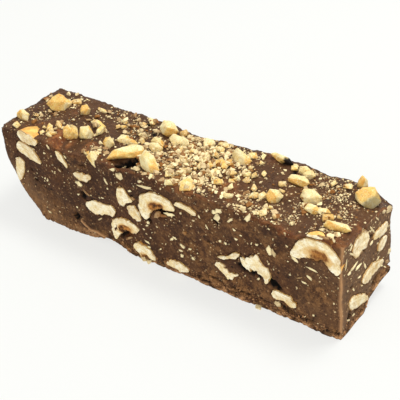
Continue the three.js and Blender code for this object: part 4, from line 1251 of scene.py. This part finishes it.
# %% Slivers
# Each row: along, up, length, width, turn in degrees, tone.
SLIVERS = {
    "front": [
        (-29.4, 20.2, 3, 1.6, -20, 0.1), (-12.6, 28.2, 2.8, 2.3, 20, 0.2),
        (-18, 24.7, 2.4, 0.7, -60, 0.1), (-2.5, 28.1, 5.2, 1, 5, 0.2),
        (-4.5, 29.4, 2, 0.8, 30, 0.2), (-15, 29.8, 2, 1, 10, 0), (-9, 24.4, 1.4, 0.7, 20, 0),
        (22, 26.4, 2.6, 2, 60, 0.1), (21.2, 27.8, 1.6, 1.2, 0, 0), (22.8, 28.8, 2.5, 1.2, 20, 0),
        (26.7, 27.4, 2.4, 0.7, 45, 0.2), (32.4, 30, 3.8, 1.3, 62, 0.1),
        (38.8, 21.5, 1.8, 2.8, 0, 0), (40.2, 21.4, 1.6, 2.2, 20, 0.5), (34.8, 22, 1, 0.7, 0, 0),
        (28.3, 21.5, 0.9, 0.7, 0, 0), (22.5, 18.3, 1, 0.7, 30, 0), (24.3, 18.3, 1, 0.7, -30, 0),
        (47, 22.2, 2.2, 0.9, -30, 0.1), (52.2, 21, 3.1, 0.6, -8, 0), (51.3, 17.7, 1.8, 0.8, -30, 0),
        (48.3, 16.5, 2.2, 0.4, 30, 0.8), (49.8, 15.4, 1.8, 0.5, -5, 0),
        (35.1, 10.4, 1.2, 0.6, 50, 0), (41.1, 4.1, 2.3, 1.7, -20, 0.5),
        (5.2, 12.4, 1.6, 0.8, 50, 0.1), (6.4, 13.2, 1.8, 0.8, -20, 0.1),
        (8.9, 11.3, 1.8, 1.1, -30, 0.1), (11.5, 11.2, 1.4, 0.7, 30, 0), (8.3, 9.6, 1.4, 0.5, 0, 0),
        (8.7, 7.9, 1.2, 1.3, 0, 0.1), (12.6, 8.4, 2, 1, -20, 0.1), (10, 16.3, 1.8, 1.2, 0, 0.9),
        (-3.9, 6, 1.2, 0.7, 0, 0), (-4.5, 7.5, 2, 0.6, -15, 0.1), (-3.2, 9.5, 0.8, 0.7, 0, 0),
        (-5.3, 12.1, 0.8, 0.7, 0, 0), (-3.3, 15.2, 1, 1, 0, 0), (-4, 13.8, 1.2, 0.6, 30, 0.2),
        (-20.8, 17.7, 1, 0.5, 0, 0), (-22.5, 9.5, 2, 0.5, 40, 0.6), (24.6, 6, 0.9, 0.6, 0, 0),
        (-44.2, 17, 0.9, 0.5, 60, 0), (-43.2, 16.6, 0.9, 0.5, 60, 0), (-43, 5.2, 1.6, 1, 0, 0.9),
        (-44.8, 3.8, 1.4, 0.8, 0, 0.4), (-54.8, 11.4, 1.6, 0.7, 40, 0.8),
        (-8.2, 21.9, 1.4, 1, 0, 0.9), (-37.5, 22, 1.5, 0.6, -40, 0.6),
        (-30.7, 15.5, 0.9, 0.6, 0, 0), (-26.8, 17.6, 2.6, 0.7, -30, 0.8),
        (5, 21.2, 3.6, 1.1, 10, 0), (0.8, 19.6, 3.6, 1.7, 55, 0.9), (2.8, 20, 3, 0.9, 12, 1),
        (-12, 5.8, 3.4, 0.8, 30, 0.9), (55.4, 33, 3.4, 0.9, 0, 0.9), (16, 24.6, 1.2, 0.4, -60, 0),
        (18.6, 22, 1.6, 0.4, -60, 0), (28, 24.8, 1, 0.5, -40, 0), (30, 23.6, 0.8, 0.4, 0, 0),
        (-47, 27, 1.2, 0.6, 0, 0.5), (44.6, 25.6, 1, 0.4, -30, 0.2), (57.6, 25.4, 1.2, 0.5, -60, 0),
        (58.6, 33, 1.4, 0.7, -60, 0.3), (-40.6, 29.6, 1.8, 0.7, -50, 0.3),
        (-33.4, 28.6, 1.2, 0.5, -50, 0),
    ],
    "end": [
        (-10, 20.8, 1.6, 1, 0, 0), (-8, 21.5, 3.6, 0.8, 8, 0.1), (-5.5, 19.8, 3, 0.9, -4, 0),
        (-1, 17, 2.8, 0.8, -65, 0.1), (-4.2, 15.4, 1.4, 0.6, 0, 0), (-7, 13, 1.8, 0.5, -60, 0),
        (-9.7, 4.2, 2, 0.6, -30, 0.3), (8.5, 10.6, 2.4, 0.7, -45, 0), (2, 22.8, 2.2, 1, 20, 0.1),
        (12, 9.6, 3, 1, -40, 0.8), (12.6, 13, 2.4, 1.6, -55, 0.3), (11, 8.3, 2, 0.4, -45, 0),
        (-0.3, 24.5, 1, 0.8, 0, 0.2), (12, 27.6, 3.4, 2.4, -30, 0.5),
        (2.6, 26.6, 4.6, 0.6, -55, 0.3), (4.8, 29, 3, 0.5, -50, 0.4), (-9, 26.5, 3, 0.5, -40, 0.2),
        (9, 28.6, 2, 1, -20, 0.4), (-9.6, 29, 2, 0.6, 50, 0.2), (-11.4, 24.6, 3, 0.5, 80, 0.3),
        (6.2, 14.6, 1.4, 0.4, 30, 0.2), (-6.4, 3.6, 1.6, 0.6, 0, 0.3),
        (10.6, 21.4, 1.4, 0.6, 30, 0.1),
    ],
    "back": [
        (-5, 14, 3, 0.8, -30, 0.1), (12, 15, 2.4, 0.7, 20, 0), (28, 20, 3.4, 1, -25, 0.2),
        (-40, 8, 2.4, 0.6, 40, 0), (-24, 18, 1.8, 0.9, 10, 0.1), (7, 24, 2.6, 0.8, 50, 0.3),
        (46, 22, 2, 1.2, 0, 0.1), (-52, 12, 2, 0.7, 60, 0.2), (24, 9, 1.6, 0.7, -40, 0),
        (-2, 5, 2.2, 0.9, 15, 0.4), (-34, 25, 2.8, 0.9, -15, 0.1), (50, 9, 1.6, 0.8, 25, 0.1),
    ],
}


def add_sliver(bm, face, row):
    """A thin flake of nut with an angular outline, lying flat in the cut."""
    along, up, length, width, turn, tone = row
    made = bmesh.ops.create_icosphere(bm, subdivisions=2, radius=1)["verts"]
    shift = Vector((along * 3.7, up * 2.9, 0))
    tone_mark = bm.verts.layers.float["tone"]
    for vert in made:
        x, y, z = vert.co
        spread = 1 + 0.9 * rough(vert.co + shift, 0.7)
        curved = 0.12 * (x ** 2) * rough(shift, 1)
        vert.co = (x * spread * length / 2, (y * spread + curved) * width / 2, z * 0.22)
        vert[tone_mark] = tone + 0.3 * rough(vert.co + shift, 0.6)
    place = Matrix.Translation((along, up, cut_stands_out(face, along, up) + 0.06))
    matrix = face_frame(face) @ place @ Matrix.Rotation(math.radians(turn), 4, "Z")
    bmesh.ops.transform(bm, matrix=matrix, verts=made)


bm = bmesh.new()
bm.verts.layers.float.new("tone")
for face, rows in SLIVERS.items():
    for row in rows:
        add_sliver(bm, face, row)
bmesh.ops.recalc_face_normals(bm, faces=bm.faces)
slivers = piece_from(bm, "hazelnut_slivers", finishes["nut_crumb"], "cut_hazelnut")
print("slivers:", sum(len(rows) for rows in SLIVERS.values()), "faces:", len(slivers.data.polygons))

# %% [markdown]
# ## Floor, light and camera
#
# The bar lies on a plain white table in bright soft light: a white surround, and one lamp
# above and a little behind, to the right, which leaves the front cut darkest, and a weaker one
# in front that brings out the cream of the nuts in it.

# %% Floor
floor_finish, tree, place = new_finish("table")
tint = blended(tree, cloud(tree, place, 0.2), paint(118, 119, 116), paint(124, 125, 122))
close_finish(tree, tint, 0.8, cloud(tree, place, 0.01), 0.00002)
glow = floor_finish.node_tree.nodes["Principled BSDF"].inputs
glow["Emission Color"].default_value = (1, 1, 0.98, 1)
glow["Emission Strength"].default_value = 0.7
FLOOR_REACH = 4
bm = bmesh.new()
bmesh.ops.create_grid(bm, x_segments=2, y_segments=2, size=FLOOR_REACH)
floor_mesh = bpy.data.meshes.new("table")
bm.to_mesh(floor_mesh)
bm.free()
floor_mesh.materials.append(floor_finish)
floor = bpy.data.objects.new("table", floor_mesh)
bpy.context.scene.collection.objects.link(floor)

# %% Light
scene = bpy.context.scene
scene.view_settings.view_transform = "Standard"
scene.world = bpy.data.worlds.new("studio")
scene.world.use_nodes = True
background = scene.world.node_tree.nodes["Background"]
background.inputs["Color"].default_value = (1, 1, 1, 1)
background.inputs["Strength"].default_value = 0.74


def lamp(name, place, aim, size, power):
    light = bpy.data.lights.new(name, "AREA")
    light.shape = "SQUARE"
    light.size = size
    light.energy = power
    holder = bpy.data.objects.new(name, light)
    scene.collection.objects.link(holder)
    holder.location = place
    holder.rotation_euler = (Vector(aim) - Vector(place)).to_track_quat("-Z", "Y").to_euler()


MIDDLE = (0, 0, 0.015)
lamp("key", (0.14, 0.2, 0.64), MIDDLE, 0.22, 3.2)
lamp("fill", (0.3, -0.5, 0.3), MIDDLE, 0.4, 1.2)

# %% Camera
CAMERA_PLACE = (0.1571, -0.1889, 0.1874)
AZIMUTH, ELEVATION, ROLL = math.radians(38.7), math.radians(34.97), math.radians(-4.75)
camera_data = bpy.data.cameras.new("camera")
camera_data.sensor_width = 36
camera_data.lens = 90
camera_data.clip_start = 0.01
camera = bpy.data.objects.new("camera", camera_data)
scene.collection.objects.link(camera)
level = math.cos(ELEVATION)
back = Vector((math.sin(AZIMUTH) * level, -math.cos(AZIMUTH) * level, math.sin(ELEVATION)))
turned = back.to_track_quat("Z", "Y").to_matrix().to_4x4() @ Matrix.Rotation(ROLL, 4, "Z")
camera.matrix_world = Matrix.Translation(CAMERA_PLACE) @ turned
scene.camera = camera
